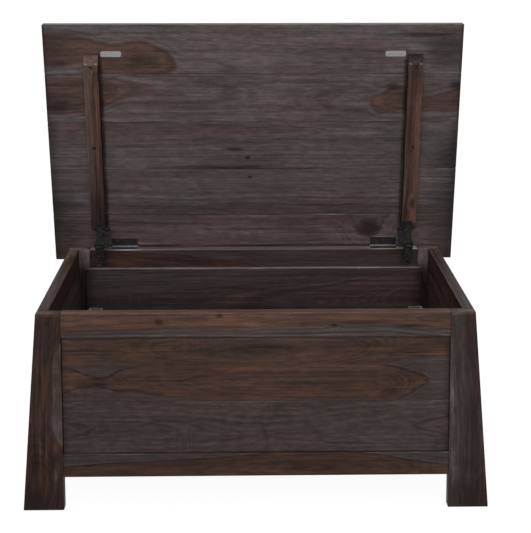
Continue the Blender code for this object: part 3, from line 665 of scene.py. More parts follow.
GROWTH_RINGS = node_group(
    "growth rings", build_growth_rings, RING_MARKS,
    values=("Centre", "Half Width", "Heart Radius", "Face", "Ring Width", "Line Step", "Waver", "Swell",
            "Ragged", "Softness", "Outline Width", "Seed"),
)
FIBRES = node_group("wood fibres", build_fibres, FIBRE_MARKS, values=("Sawn Spot", "Seed"))
KNOT = node_group("knot", build_knot, KNOT_MARKS, ("Place", "Middle"), ("Half Length", "Half Width"))
SOFT_SPOT = node_group(
    "soft spot", build_soft_spot, ("Mask",), ("Place", "Middle"),
    ("Half Length", "Half Width", "Half Thickness", "Strength"),
)
BOARD_EDGES = node_group(
    "board edges", build_board_edges, EDGE_MARKS, ("Place", "Half Size"), ("Taper", "Soak Depth", "Seed"),
)
STAIN = node_group(
    "wood stain", build_stain, FINISH_RESULTS, (),
    (*RING_MARKS, *FIBRE_MARKS, *SPOT_MARKS, "Knot Core", "Knot Rim", *EDGE_MARKS, *STAIN_VALUES,
     "Line Depth"),
    (*WOODS["lid"], "Knot"),
)
METAL_WEAR = node_group(
    "metal wear", build_metal_wear, FINISH_RESULTS, values=("Wear", "Roughness"), colours=("Base", "Worn"),
)


def board_frame(node, along, across):
    """Where a board lies: its middle, its turn, and its half sizes along, across and through the grain."""
    turn = Matrix((along, across, along.cross(across))).transposed()
    corners = [turn.transposed() @ corner.co for corner in frame["nodes"][node].data.vertices]
    low = Vector(min(corner[axis] for corner in corners) for axis in range(3))
    high = Vector(max(corner[axis] for corner in corners) for axis in range(3))
    return turn @ ((low + high) / 2), turn.to_euler(), (high - low) / 2


def place_group(net, tree, inputs):
    """Puts a node group into a tree and gives back its outputs by their names."""
    return dict(net.add("ShaderNodeGroup", inputs, node_tree=tree).outputs.items())


def new_material(name):
    material = bpy.data.materials.new(name)
    material.use_nodes = True
    return material, NodeNet(material.node_tree)


def join_shader(material, net, finish, bump):
    """Joins a finish's colour, roughness and relief to the material's shader, which it gives back."""
    shader = material.node_tree.nodes["Principled BSDF"]
    strength, depth = bump
    relief = net.add("ShaderNodeBump", {"Height": finish["Height"], "Strength": strength, "Distance": depth})
    net.feed(shader.inputs["Base Color"], finish["Color"])
    net.feed(shader.inputs["Roughness"], finish["Roughness"])
    net.feed(shader.inputs["Normal"], relief.outputs[0])
    return shader


def dress(node, material):
    """Gives a piece's only material slot a new material."""
    target = frame["nodes"][node]
    if not target.material_slots:
        target.data.materials.append(material)
    target.material_slots[0].material = material


def plain_figure(seed, half):
    """A figure for a board that the photo doesn't show: one heartwood tongue of a chance shape."""
    chance = random.Random(seed)
    centre = chance.uniform(-CHANCE_CENTRE, CHANCE_CENTRE) * half.y
    widest = chance.uniform(*CHANCE_WIDTH) * half.y
    lean = chance.choice((-1, 1))
    points = []
    for share in CHANCE_PLACES:
        width = widest * (MIDDLE_WIDTH + (1.0 - MIDDLE_WIDTH) * lean * share)
        width += chance.uniform(-WIDTH_UNEVEN, WIDTH_UNEVEN) * half.y
        middle = centre + chance.uniform(-CENTRE_UNEVEN, CENTRE_UNEVEN) * half.y
        points.append((share * half.x, middle - width, middle + width))
    return {"hearts": [points]}


def knot_marks(net, place, knots):
    """The core, rim and swelling of all the knots of a board."""
    made = [
        place_group(net, KNOT, {
            "Place": place, "Middle": (along, across, 0.0), "Half Length": half_length,
            "Half Width": half_width,
        })
        for along, across, half_length, half_width in knots
    ]
    return {label: net.most([knot[label] for knot in made]) for label in KNOT_MARKS}


def spot_mask(net, place, half, spots):
    """All the soft spots of one kind on a board. A spot's strength is its last number, or else 1."""
    return net.most([
        place_group(net, SOFT_SPOT, {
            "Place": place, "Middle": (along, across, 0.0), "Half Length": half_length,
            "Half Width": half_width, "Half Thickness": half.z, "Strength": strength[0] if strength else 1.0,
        })["Mask"]
        for along, across, half_length, half_width, *strength in spots
    ])


def heart_rings(net, place, half, figure, seed, ragged, swell):
    """The rings of all the tongues of heartwood on a board. Each tongue's rings show inside that tongue."""
    rings = {}
    grain = net.split(place)[0]
    for number, points in enumerate(figure["hearts"]):
        centres = [(spot, (low + high) / 2) for spot, low, high in points]
        halves = [(spot, (high - low) / 2) for spot, low, high in points]
        made = place_group(net, GROWTH_RINGS, {
            "Place": place, "Seed": seed + number * TONGUE_SEED_STEP, "Face": half.z, "Swell": swell,
            "Ragged": ragged, "Centre": net.curve(grain, centres, half.x, HEART_SPAN),
            "Half Width": net.curve(grain, halves, half.x, HEART_SPAN), "Heart Radius": figure["radius"],
            "Ring Width": figure["ring"], "Line Step": figure["line_step"], "Waver": figure["waver"],
            "Softness": figure["softness"], "Outline Width": figure["outline_width"],
        })
        if not rings:
            rings = made
            beyond = net.ease(net.size(grain), *OUTLINE_MIDDLE, figure["middle_outline"], 1.0)
        else:
            for label in ("Bands", "Lines"):
                inputs = {0: rings["Heart Mask"], 2: made[label], 3: rings[label]}
                rings[label] = net.add("ShaderNodeMix", inputs, data_type="FLOAT").outputs[0]
            rings["Heart Mask"] = net.calc("MAXIMUM", rings["Heart Mask"], made["Heart Mask"])
            beyond = net.minus(1.0, made["Heart Mask"])
        for label in ("Outline", "Halo"):
            rings[label] = net.times(rings[label], beyond)
    return rings


def stained_wood(node, along, across, wood, seed, figure, taper=0.0):
    """One board's own wood: where its heartwood shows, its rings, fibres, knots, spots and rubbed edges."""
    middle, turn, half = board_frame(node, along, across)
    figure = {**PLAIN_BOARD, **plain_figure(seed, half), **figure}
    material, net = new_material(f"{node}_stained_wood")
    object_place = net.add("ShaderNodeTexCoord").outputs["Object"]
    mapping = {"Vector": object_place, "Location": middle, "Rotation": turn}
    place = net.add("ShaderNodeMapping", mapping, vector_type="TEXTURE").outputs[0]

    spots = {kind: spot_mask(net, place, half, figure[kind]) for kind in SPOT_KINDS}
    knots = knot_marks(net, place, figure["knots"])
    swell = knots.pop("Swell")
    fibres = place_group(net, FIBRES, {"Place": place, "Sawn Spot": spots["sawn"], "Seed": seed})
    reach = HEART_RAGGED * figure["ragged"]
    ragged = net.scaled(fibres["Streaks"], 2 * reach, -reach)
    rings = heart_rings(net, place, half, figure, seed, ragged, swell)
    edges = place_group(net, BOARD_EDGES, {
        "Place": place, "Half Size": half, "Taper": taper, "Soak Depth": figure["soak"], "Seed": seed,
    })
    changed_marks = {
        "Streaks": net.about_half(fibres["Streaks"], figure["streaks"]),
        "Broad Streaks": net.about_half(fibres["Broad Streaks"], figure["streaks"]),
        "Mottle": net.about_half(fibres["Mottle"], figure["mottle"]),
        "Saw Marks": net.times(fibres["Saw Marks"], figure["saw_marks"]),
        "Groove": net.times(edges["Groove"], net.minus(1.0, spots["closed"])),
        "Line Depth": net.scaled(spots["lined"], LINED_DEPTH, -figure["lines"]),
    }
    stain = place_group(net, STAIN, {
        **WOODS[wood], "Knot": KNOT_COLOUR, **rings, **fibres, **knots, **edges, **changed_marks,
        **{label: spots[kind] for label, kind in SPOT_MARKS.items()},
        **{label: figure[name] for label, name in STAIN_VALUES.items()},
    })
    shader = join_shader(material, net, stain, WOOD_BUMP)
    shader.inputs["Specular IOR Level"].default_value = WOOD_SPECULAR
    dress(node, material)


def worn_metal(name, base, worn, wear, roughness, metallic, specular, barrel=None):
    """A finish for the fittings, with brush marks and scuffs. Round the lid's axis its colour may differ."""
    material, net = new_material(name)
    place = net.add("ShaderNodeTexCoord").outputs["Object"]
    # Rubbed bright round the axis, with a painted sheen on the barrel
    if barrel:
        aside = net.split(net.vector("SUBTRACT", place, LID_AXIS))
        from_axis = net.distance(aside["Y"], aside["Z"])
        base = net.blend(net.ease(from_axis, BARREL_RADIUS + BARREL_FADE, BARREL_RADIUS), base, barrel)
    finish = place_group(net, METAL_WEAR, {
        "Place": place, "Base": base, "Worn": worn, "Wear": wear, "Roughness": roughness,
    })
    shader = join_shader(material, net, finish, METAL_BUMP)
    shader.inputs["Metallic"].default_value = metallic
    shader.inputs["Specular IOR Level"].default_value = specular
    return material


# What a board is like where its own figure doesn't say: the radius of its heartwood, the width of its rings,
# the step of their lines and how far they waver; how soft, ragged, outlined and strong the heartwood is; how
# strong the rings, lines, streaks and other marks are; the stain at its ends and edges, the painted light and
# painted grey sheen on its top face, and the stain all over; its knots and spots
PLAIN_BOARD = {
    "radius": 0.085, "ring": 0.0045, "line_step": 0.0045, "waver": 0.004, "softness": 1.0, "ragged": 1.0,
    "outline": 0.28, "outline_width": 0.0028, "middle_outline": 1.0, "strength": 1.0, "heart_contrast": 0.9,
    "sap_contrast": 0.55, "sap_light": 1.0, "tint": 0.35, "lines": 0.30, "streaks": 1.0, "mottle": 1.0,
    "saw_marks": 1.0, "soak": 0.03, "groove": 0.0, "upper": 0.0, "painted_sheen": 0.0, "stain": 1.0,
    "knots": (), **dict.fromkeys(SPOT_KINDS, ()),
}

# Painted shadows on the lid boards along the inner sides of the battens: beside their front ends, middles and
# rear ends
PAINTED_BATTEN_SHADOWS = {
    "upper": [(-0.369, -0.050, 0.007, 0.050), (0.369, -0.050, 0.007, 0.050)],
    "middle": [(-0.369, 0.000, 0.007, 0.100), (0.369, 0.000, 0.007, 0.100)],
    "lower": [(-0.369, 0.050, 0.007, 0.050), (0.369, 0.050, 0.007, 0.050)],
}

# Figures seen in the photo, and before them what the boards of a kind share. A heartwood point is the place
# along the board, and the lower and upper edge of the heartwood there, all from the middle of the board.
# Beyond a tip the lower edge lies above the upper one. A knot or a spot is its middle along and across the
# board, its half length and half width, and for a spot its strength. Some light and dark spots are painted
# light and painted shade, as noted where they stand.
LID_WOOD = {"saw_marks": 0.25, "streaks": 0.75, "mottle": 1.5, "groove": 0.6}
LID_FIGURES = {
    1: {
        "hearts": [[
            (-0.503, -0.040, 0.036), (-0.440, -0.036, 0.034), (-0.400, -0.036, 0.030),
            (-0.365, -0.060, 0.020), (-0.333, -0.066, 0.014), (-0.275, -0.066, 0.021),
            (-0.240, -0.064, 0.014), (-0.210, -0.060, -0.001), (-0.193, -0.052, -0.014),
            (-0.180, -0.044, -0.034), (-0.120, -0.030, -0.060), (0.100, 0.000, -0.090),
            (0.503, 0.020, -0.100),
        ]],
        "warm": [
            (-0.418, -0.033, 0.025, 0.010), (-0.309, -0.030, 0.030, 0.010), (-0.262, 0.005, 0.030, 0.008),
            (-0.219, -0.023, 0.012, 0.020),
        ],
        "dark": [
            (-0.430, 0.039, 0.090, 0.006, 0.7), (-0.285, -0.042, 0.070, 0.022, 0.45),
            (0.410, 0.034, 0.100, 0.007), (0.470, 0.000, 0.070, 0.060, 0.75),
            (-0.500, 0.000, 0.060, 0.060, 0.5), *PAINTED_BATTEN_SHADOWS["upper"], (-0.210, -0.0588, 0.160, 0.0016),
        ],
        "closed": [(-0.480, -0.059, 0.100, 0.006)],
        "radius": 0.10, "softness": 3.2, "ragged": 2.2, "outline": 0.12, "soak": 0.012, "heart_contrast": 0.7,
        "stain": 0.99,
    },
    2: {
        "hearts": [[
            (-0.503, -0.037, 0.050), (-0.400, -0.030, 0.052), (-0.360, -0.020, 0.054),
            (-0.325, -0.004, 0.049), (-0.278, 0.006, 0.036), (-0.228, 0.011, 0.024), (-0.209, 0.016, 0.016),
            (-0.120, 0.030, 0.002), (0.050, 0.040, -0.040), (0.220, 0.010, -0.016), (0.276, -0.005, -0.005),
            (0.295, -0.030, 0.006), (0.345, -0.038, 0.027), (0.370, -0.038, 0.028), (0.410, -0.037, 0.004),
            (0.450, -0.037, 0.009), (0.503, -0.036, 0.026),
        ]],
        "warm": [
            (-0.430, 0.018, 0.022, 0.014), (-0.354, -0.001, 0.020, 0.008), (-0.259, 0.024, 0.025, 0.007),
            (0.299, -0.005, 0.018, 0.012),
        ],
        "dark": [
            (-0.480, -0.018, 0.035, 0.022, 0.8), (0.339, 0.028, 0.020, 0.010), (0.492, 0.030, 0.018, 0.014),
            *PAINTED_BATTEN_SHADOWS["middle"],
        ],
        "light": [(-0.300, 0.022, 0.100, 0.035, 0.35)], "closed": [(-0.480, 0.059, 0.100, 0.006)],
        "radius": 0.09, "softness": 3.0, "ragged": 2.4, "outline": 0.08, "soak": 0.012, "heart_contrast": 0.5,
        "stain": 0.86,
    },
    3: {
        "hearts": [[
            (-0.503, 0.010, 0.058), (-0.200, 0.012, 0.058), (0.000, 0.020, 0.054), (0.150, 0.027, 0.046),
            (0.250, 0.034, 0.034), (0.330, 0.045, 0.020), (0.503, 0.060, -0.010),
        ]],
        "knots": [(-0.015, -0.030, 0.006, 0.0045)],
        "dark": [
            (-0.085, -0.055, 0.170, 0.006), (-0.045, -0.008, 0.030, 0.006),
            (0.495, -0.030, 0.055, 0.060, 0.8), *PAINTED_BATTEN_SHADOWS["middle"],
        ],
        "radius": 0.08, "softness": 2.0, "strength": 0.35, "stain": 0.80,
    },
    4: {
        "hearts": [[
            (-0.503, -0.070, -0.030), (-0.300, -0.068, -0.033), (0.000, -0.068, -0.036),
            (0.300, -0.068, -0.034), (0.503, -0.068, -0.040),
        ]],
        "knots": [(-0.010, 0.0385, 0.006, 0.003)],
        "dark": [
            (-0.495, -0.035, 0.055, 0.045, 0.8), (0.490, 0.000, 0.055, 0.080, 0.65),
            *PAINTED_BATTEN_SHADOWS["middle"],
        ],
        "radius": 0.08, "softness": 2.0, "strength": 0.25, "stain": 0.80,
    },
    5: {
        "hearts": [[(-0.503, -0.110, 0.115), (0.000, -0.105, 0.110), (0.503, -0.110, 0.115)]],
        "knots": [(0.290, 0.022, 0.029, 0.021)],
        # The three dark lines at -0.0236 are a painted shadow where the back rim meets the open lid
        "dark": [
            (-0.488, 0.000, 0.070, 0.100, 0.75), (0.488, 0.000, 0.060, 0.090, 0.65),
            *PAINTED_BATTEN_SHADOWS["lower"], (-0.270, -0.0236, 0.180, 0.0030), (0.000, -0.0236, 0.260, 0.0030),
            (0.270, -0.0236, 0.180, 0.0030), (-0.233, 0.0588, 0.150, 0.0016),
        ],
        "light": [
            (-0.3275, -0.002, 0.036, 0.002), (0.3275, -0.002, 0.036, 0.002),
            (0.000, -0.0160, 2.000, 0.0030, 0.25), (0.210, 0.0585, 0.180, 0.0014, 0.6),
        ],
        "radius": 0.14, "strength": 0.45, "stain": 0.89,
    },
}
# Painted highlights on the arrises at the foot of the battens' bevelled front ends, where the stain is also
# rubbed lighter
BATTEN_CORNER_HIGHLIGHTS = [(0.1965, -0.012, 0.003, 0.005, 2.0), (0.1965, 0.012, 0.003, 0.005, 2.0)]
BATTEN_WOOD = {"radius": 0.05, "ring": 0.003}
BATTENS = {
    "left": {
        "hearts": [[
            (-0.220, -0.030, 0.006), (0.000, -0.030, 0.001), (0.170, -0.030, 0.004), (0.190, -0.012, 0.002),
            (0.198, 0.010, -0.010), (0.206, 0.040, -0.040), (0.220, 0.120, -0.120),
        ]],
        "warm": [(0.020, -0.009, 0.160, 0.004), (-0.120, -0.011, 0.080, 0.004)],
        # The first dark spot is painted shade along the batten's inner side
        "dark": [(0.000, -0.0185, 0.350, 0.003), (-0.190, 0.000, 0.115, 0.040)],
        "light": [*BATTEN_CORNER_HIGHLIGHTS, (0.2130, 0.000, 0.014, 0.030, 0.18)],
        "soak": 0.004, "stain": 0.97,
    },
    "right": {
        "hearts": [[(-0.220, -0.030, 0.030), (0.000, -0.026, 0.034), (0.220, -0.030, 0.030)]],
        "knots": [(-0.152, -0.006, 0.010, 0.005)],
        "warm": [(-0.186, -0.006, 0.016, 0.010)],
        "dark": [
            # The first dark spot is painted shade along the batten's inner side
            (0.000, 0.0185, 0.350, 0.003), (0.214, 0.000, 0.016, 0.040, 0.85),
            (-0.180, 0.012, 0.035, 0.010, 0.8), (-0.222, -0.004, 0.018, 0.030, 0.9),
        ],
        "light": BATTEN_CORNER_HIGHLIGHTS,
        "soak": 0.018, "stain": 1.06,
    },
}
CARCASS_FIGURES = {
    "front_top_rail": {
        "hearts": [[
            (-0.415, -0.013, 0.040), (-0.250, -0.011, 0.040), (-0.100, -0.007, 0.040), (0.030, -0.003, 0.040),
            (0.120, -0.002, 0.040), (0.200, 0.000, 0.040), (0.280, 0.002, 0.040), (0.350, -0.006, 0.040),
            (0.415, -0.013, 0.040),
        ]],
        "knots": [(0.166, -0.002, 0.007, 0.004)],
        "warm": [
            (-0.396, 0.004, 0.020, 0.006), (-0.321, 0.008, 0.030, 0.006), (-0.065, 0.014, 0.050, 0.008),
            (-0.015, 0.002, 0.030, 0.006), (0.200, 0.016, 0.080, 0.006),
        ],
        "dark": [(-0.205, 0.008, 0.010, 0.008), (-0.077, 0.021, 0.010, 0.006), (0.326, -0.004, 0.033, 0.005)],
        "light": [(-0.060, -0.0225, 0.300, 0.0015), (0.400, -0.017, 0.030, 0.0015)],
        # The upper value is painted light on the rail's top face
        "radius": 0.06, "ring": 0.003, "waver": 0.002, "sap_contrast": 0.9, "sap_light": 0.76,
        "outline": 0.35, "streaks": 0.65, "heart_contrast": 0.8, "stain": 0.90, "upper": 0.15,
    },
    "front_panel_upper": {
        "hearts": [
            [
                (-0.420, -0.062, -0.002), (-0.387, -0.049, -0.004), (-0.366, -0.046, -0.015),
                (-0.344, -0.044, -0.021), (-0.323, -0.048, -0.020), (-0.302, -0.054, -0.010),
                (-0.274, -0.055, 0.001), (-0.228, -0.061, 0.005), (-0.057, -0.082, 0.006),
                (0.189, -0.091, 0.005), (0.262, -0.090, 0.004), (0.296, -0.083, 0.000),
                (0.320, -0.071, -0.006), (0.345, -0.055, -0.013), (0.367, -0.040, -0.020),
                (0.384, -0.029, -0.029), (0.410, -0.018, -0.042), (0.440, -0.010, -0.055),
            ],
            [
                (-0.420, 0.002, 0.100), (-0.340, 0.003, 0.100), (-0.270, 0.000, 0.100),
                (-0.200, -0.012, 0.100), (0.220, -0.012, 0.100), (0.270, 0.002, 0.100),
                (0.310, 0.016, 0.100), (0.420, 0.022, 0.100),
            ],
        ],
        "warm": [
            (-0.402, 0.017, 0.030, 0.012), (-0.252, 0.027, 0.050, 0.010), (-0.140, 0.024, 0.050, 0.010),
            (-0.047, -0.002, 0.050, 0.012), (-0.400, -0.027, 0.020, 0.014), (-0.194, -0.027, 0.012, 0.010),
            (0.266, 0.039, 0.030, 0.012), (0.386, 0.030, 0.030, 0.012), (0.226, -0.052, 0.030, 0.014),
            (0.256, -0.061, 0.015, 0.008), (0.115, -0.054, 0.060, 0.012),
        ],
        # The dark spots at 0.052 and 0.058, along the top of the panel, are painted shade below the top rail
        "dark": [
            (0.292, -0.059, 0.022, 0.010, 0.5), (-0.300, 0.052, 0.150, 0.014, 0.35),
            (-0.050, 0.058, 0.120, 0.010, 0.2), (-0.345, -0.033, 0.060, 0.014, 0.45),
            (0.340, -0.030, 0.050, 0.030, 0.15),
        ],
        # The light along the top edge, at 0.068, is painted light that softens the shadow below the top rail
        "light": [(0.400, -0.010, 0.050, 0.060, 0.38), (0.000, 0.068, 0.800, 0.016, 0.45)],
        "radius": 0.075, "ring": 0.0042, "line_step": 0.0028, "waver": 0.0015, "outline": 0.42,
        "outline_width": 0.0046, "lined": [(0.342, -0.024, 0.055, 0.036)], "middle_outline": 0.2,
        "lines": 0.30, "streaks": 0.7, "heart_contrast": 0.5, "mottle": 1.3, "sap_light": 0.92,
        "stain": 0.70,
    },
    "front_panel_lower": {
        "hearts": [[
            (-0.420, -0.020, 0.020), (-0.250, 0.010, -0.010), (0.000, 0.030, -0.040), (0.250, 0.010, -0.010),
            (0.420, -0.020, 0.030),
        ]],
        "sawn": [(-0.160, -0.024, 0.035, 0.035), (0.041, 0.047, 0.025, 0.024), (0.027, -0.018, 0.030, 0.028)],
        "light": [(0.330, 0.000, 0.140, 0.090, 0.3)],
        "radius": 0.09, "strength": 0.25, "sap_contrast": 0.7, "tint": 0.30, "streaks": 0.5, "mottle": 1.9,
        "stain": 0.73,
    },
    "front_bottom_rail": {
        "hearts": [[
            (-0.420, -0.047, -0.002), (-0.321, -0.047, 0.006), (-0.124, -0.047, 0.016),
            (-0.020, -0.047, 0.024), (0.100, -0.047, 0.033), (0.230, -0.047, 0.027), (0.281, -0.047, 0.020),
            (0.350, -0.047, 0.009), (0.424, -0.047, -0.005),
        ]],
        "radius": 0.06, "ring": 0.0035, "waver": 0.002, "outline": 0.40, "streaks": 0.7, "mottle": 1.5,
        "heart_contrast": 0.7, "sap_light": 1.2, "stain": 0.44,
    },
    "back_top_rail": {
        "hearts": [[
            (-0.440, -0.060, 0.040), (-0.304, -0.060, 0.024), (-0.104, -0.060, 0.003),
            (0.012, -0.060, -0.014), (0.080, -0.060, -0.030), (0.440, -0.080, -0.040),
        ]],
        # Painted highlights along the top arris below the hinges, painted light on the top face near the
        # corners, and painted top light with a grey sheen
        "light": [
            (-0.335, 0.0268, 0.050, 0.003, 1.3), (0.335, 0.0268, 0.050, 0.003, 1.3),
            (-0.411, 0.0268, 0.035, 0.004, 1.2), (0.411, 0.0268, 0.035, 0.004, 1.8),
        ],
        "radius": 0.07, "ring": 0.004, "sap_light": 1.2, "stain": 0.57, "upper": 2.5, "painted_sheen": 0.6,
    },
    "back_panel_upper": {
        # Painted shade low on the inner face, and painted light with a grey sheen on the top edge, the ledge
        "dark": [(0.000, -0.050, 0.700, 0.060, 0.45)], "strength": 0.45, "lines": 0.15, "outline": 0.1,
        "stain": 0.59, "upper": 3.1, "painted_sheen": 0.35,
    },
    "back_panel_lower": {
        # Painted shade over the inner face
        "dark": [(0.000, 0.000, 3.000, 1.000, 0.7)], "strength": 0.45, "lines": 0.15, "outline": 0.1,
        "stain": 0.54,
    },
    "back_bottom_rail": {"stain": 0.55},
}
FRONT_LEG = {"soak": 0.002, "heart_contrast": 0.7, "streaks": 1.2, "mottle": 1.8}
LEG_FIGURES = {
    "left": {
        "hearts": [[
            (-0.228, -0.080, 0.050), (-0.172, -0.080, 0.029), (-0.132, -0.080, 0.012),
            (-0.030, -0.080, 0.013), (0.030, -0.080, 0.016), (0.060, -0.080, 0.028), (0.080, -0.080, 0.044),
            (0.228, -0.080, 0.060),
        ]],
        "warm": [(0.082, 0.022, 0.014, 0.010), (-0.060, -0.002, 0.060, 0.008), (0.170, 0.000, 0.030, 0.012)],
        "dark": [
            (0.205, 0.000, 0.060, 0.070, 0.75), (0.110, 0.018, 0.035, 0.018, 0.7),
            (0.110, -0.020, 0.060, 0.015, 0.8),
        ],
        # The light at -0.228 is painted light on the leg's top end, as on the rim's top faces
        "light": [
            (0.140, 0.026, 0.030, 0.006), (-0.228, 0.000, 0.005, 0.060, 1.2),
            (-0.150, -0.010, 0.080, 0.050, 0.18),
        ],
        "radius": 0.09, "ring": 0.0035, "softness": 2.8, "outline": 0.10, "sap_light": 1.40, "stain": 0.67,
    },
    "right": {
        "hearts": [[
            (-0.228, -0.004, 0.060), (-0.032, 0.020, 0.060), (0.038, 0.036, 0.034), (0.110, 0.028, 0.060),
            (0.150, 0.010, 0.080), (0.228, -0.006, 0.090),
        ]],
        "dark": [
            (0.024, 0.012, 0.090, 0.018, 0.55), (0.118, 0.010, 0.040, 0.024, 0.55),
            (0.205, 0.000, 0.060, 0.070, 0.75),
        ],
        # The light at -0.228 is painted light on the leg's top end, as on the rim's top faces
        "light": [
            (-0.060, -0.028, 0.110, 0.004), (0.110, -0.030, 0.060, 0.005), (-0.228, 0.000, 0.005, 0.060, 1.2),
        ],
        "radius": 0.08, "ring": 0.004, "softness": 3.2, "outline": 0.08, "strength": 0.75, "stain": 0.69,
    },
}
BOARD_LEVELS = {"top_rail": "rail", "panel_upper": "panel", "panel_lower": "panel", "bottom_rail": "rail"}
SIDE_RAIL = {
    "hearts": [[(-0.300, -0.200, 0.200), (0.300, -0.200, 0.200)]], "strength": 0.9, "tint": 0.2,
    "mottle": 1.6, "stain": 0.53,
}
SIDE_FIGURES = {
    # The light spots on the top rails are painted light on their top faces towards the back corners
    "left_top_rail": {
        "light": [(0.230, 0.0270, 0.080, 0.0050, 1.3)], "dark": [(-0.220, 0.0270, 0.170, 0.0080, 0.5)],
        **SIDE_RAIL,
    },
    "right_top_rail": {
        "light": [(0.250, 0.0270, 0.060, 0.0050, 0.6)], "dark": [(-0.120, 0.0270, 0.260, 0.0080, 0.6)],
        **SIDE_RAIL,
    },
    # A negative upper value is painted shade on the top faces of the upper side panels
    "left_panel_upper": {"strength": 0.5, "stain": 1.02, "upper": -0.6},
    "right_panel_upper": {"stain": 0.92, "upper": -0.6},
    "panel_lower": {"stain": 0.60},
    "bottom_rail": {"stain": 0.45},
}
BACK_LEG = {
    # Painted light on the upper inner face and the top end, where the lid and rails shade the leg
    "light": [(-0.210, 0.000, 0.032, 0.080, 3.4), (-0.2285, 0.000, 0.005, 0.080, 3.4)],
    "dark": [(0.020, 0.000, 0.200, 0.120, 0.8)], "strength": 0.5, "soak": 0.0004, "mottle": 1.5,
    "stain": 0.66,
}
FLOOR_PIECES = ("floor_board_1", "floor_board_2", "floor_board_3", "floor_cleat_front", "floor_cleat_back")
FLOOR_STAIN = 0.8


def finish_lid_wood():
    for number, figure in LID_FIGURES.items():
        stained_wood(f"lid_board_{number}", RIGHT, LID_FORWARDS, "lid", number, {**LID_WOOD, **figure})
    for number, (hand, figure) in enumerate(BATTENS.items()):
        seed = BATTEN_SEED + number
        stained_wood(f"lid_batten_{hand}", LID_FORWARDS, -RIGHT, "batten", seed, {**BATTEN_WOOD, **figure})


def finish_legs():
    """The front legs have the photo's figures. The back legs share one, with heartwood of a chance shape."""
    for number, side in enumerate(("front", "back")):
        for hand, sign in SIDES.items():
            along = Vector((sign * LEG_LEAN, 0.0, -1.0)).normalized()
            across = Vector((-along.z, 0.0, along.x))
            figure = {**FRONT_LEG, **LEG_FIGURES[hand]} if side == "front" else BACK_LEG
            seed = LEG_SEED + 2 * number + sign
            stained_wood(f"leg_{side}_{hand}", along, across, "leg", seed, figure, LEG_TAPER)


def finish_carcass_wood():
    seed = CARCASS_SEED
    for side in ("front", "back"):
        for level, wood in BOARD_LEVELS.items():
            seed += 1
            name = f"{side}_{level}"
            kind = "inside" if name == "back_top_rail" else wood
            stained_wood(name, RIGHT, UPWARDS, kind, seed, CARCASS_FIGURES[name])
    for hand in SIDES:
        for level, wood in BOARD_LEVELS.items():
            seed += 1
            name = f"{hand}_{level}"
            figure = SIDE_FIGURES.get(name) or SIDE_FIGURES[level]
            stained_wood(name, BACKWARDS, UPWARDS, wood, seed, figure)
    for name in FLOOR_PIECES:
        seed += 1
        stained_wood(name, RIGHT, BACKWARDS, "inside", seed, {"stain": FLOOR_STAIN})


def finish_fittings(finishes):
    """The stays, hinges and strike plates in their finishes, and the batten screws in dark steel."""
    for hand in SIDES:
        for finish, names in FITTING_PIECES.items():
            for name in names:
                dress(f"{name}_{hand}", finishes[finish])
        for number in BATTEN_SCREWS:
            dress(f"batten_screw_{hand}_{number}", finishes["dark_steel"])


def pick_faces(piece, wanted):
    """Goes to edit mode with only those faces selected whose normal is wanted."""
    bpy.ops.object.mode_set(mode="EDIT")
    bpy.ops.mesh.select_mode(type="FACE")
    bpy.ops.mesh.select_all(action="DESELECT")
    bpy.ops.object.mode_set(mode="OBJECT")
    for face in piece.data.polygons:
        face.select = wanted(face.normal)
    bpy.ops.object.mode_set(mode="EDIT")


def bar(name, low, high):
    """A block between two corners, with its place in its mesh."""
    bpy.ops.object.select_all(action="DESELECT")
    middle = [(first + last) / 2 for first, last in zip(low, high)]
    bpy.ops.mesh.primitive_cube_add(size=1.0, location=middle)
    piece = bpy.context.active_object
    piece.name = name
    piece.scale = [last - first for first, last in zip(low, high)]
    bpy.ops.object.transform_apply(location=True, rotation=True, scale=True)
    return piece


def rod(name, radius, length, middle, sides, turn=(0.0, 0.0, 0.0)):
    """A cylinder that stands upright before its turn, with its place in its mesh."""
    bpy.ops.object.select_all(action="DESELECT")
    bpy.ops.mesh.primitive_cylinder_add(
        vertices=sides, radius=radius, depth=length, location=middle, rotation=turn,
    )
    piece = bpy.context.active_object
    piece.name = name
    bpy.ops.object.transform_apply(location=True, rotation=True, scale=True)
    return piece


def soften(piece, width, segments=2):
    """Rounds the sharp edges of a piece."""
    bpy.context.view_layer.objects.active = piece
    rounding = piece.modifiers.new("rounding", "BEVEL")
    rounding.width = width
    rounding.segments = segments
    rounding.limit_method = "ANGLE"
    bpy.ops.object.modifier_apply(modifier=rounding.name)


def combine(piece, other, operation):
    """Cuts another piece away or fuses it on; the other piece is used up."""
    bpy.context.view_layer.objects.active = piece
    change = piece.modifiers.new(operation, "BOOLEAN")
    change.operation = operation
    change.solver = "EXACT"
    change.object = other
    bpy.ops.object.modifier_apply(modifier=change.name)
    bpy.data.objects.remove(other)


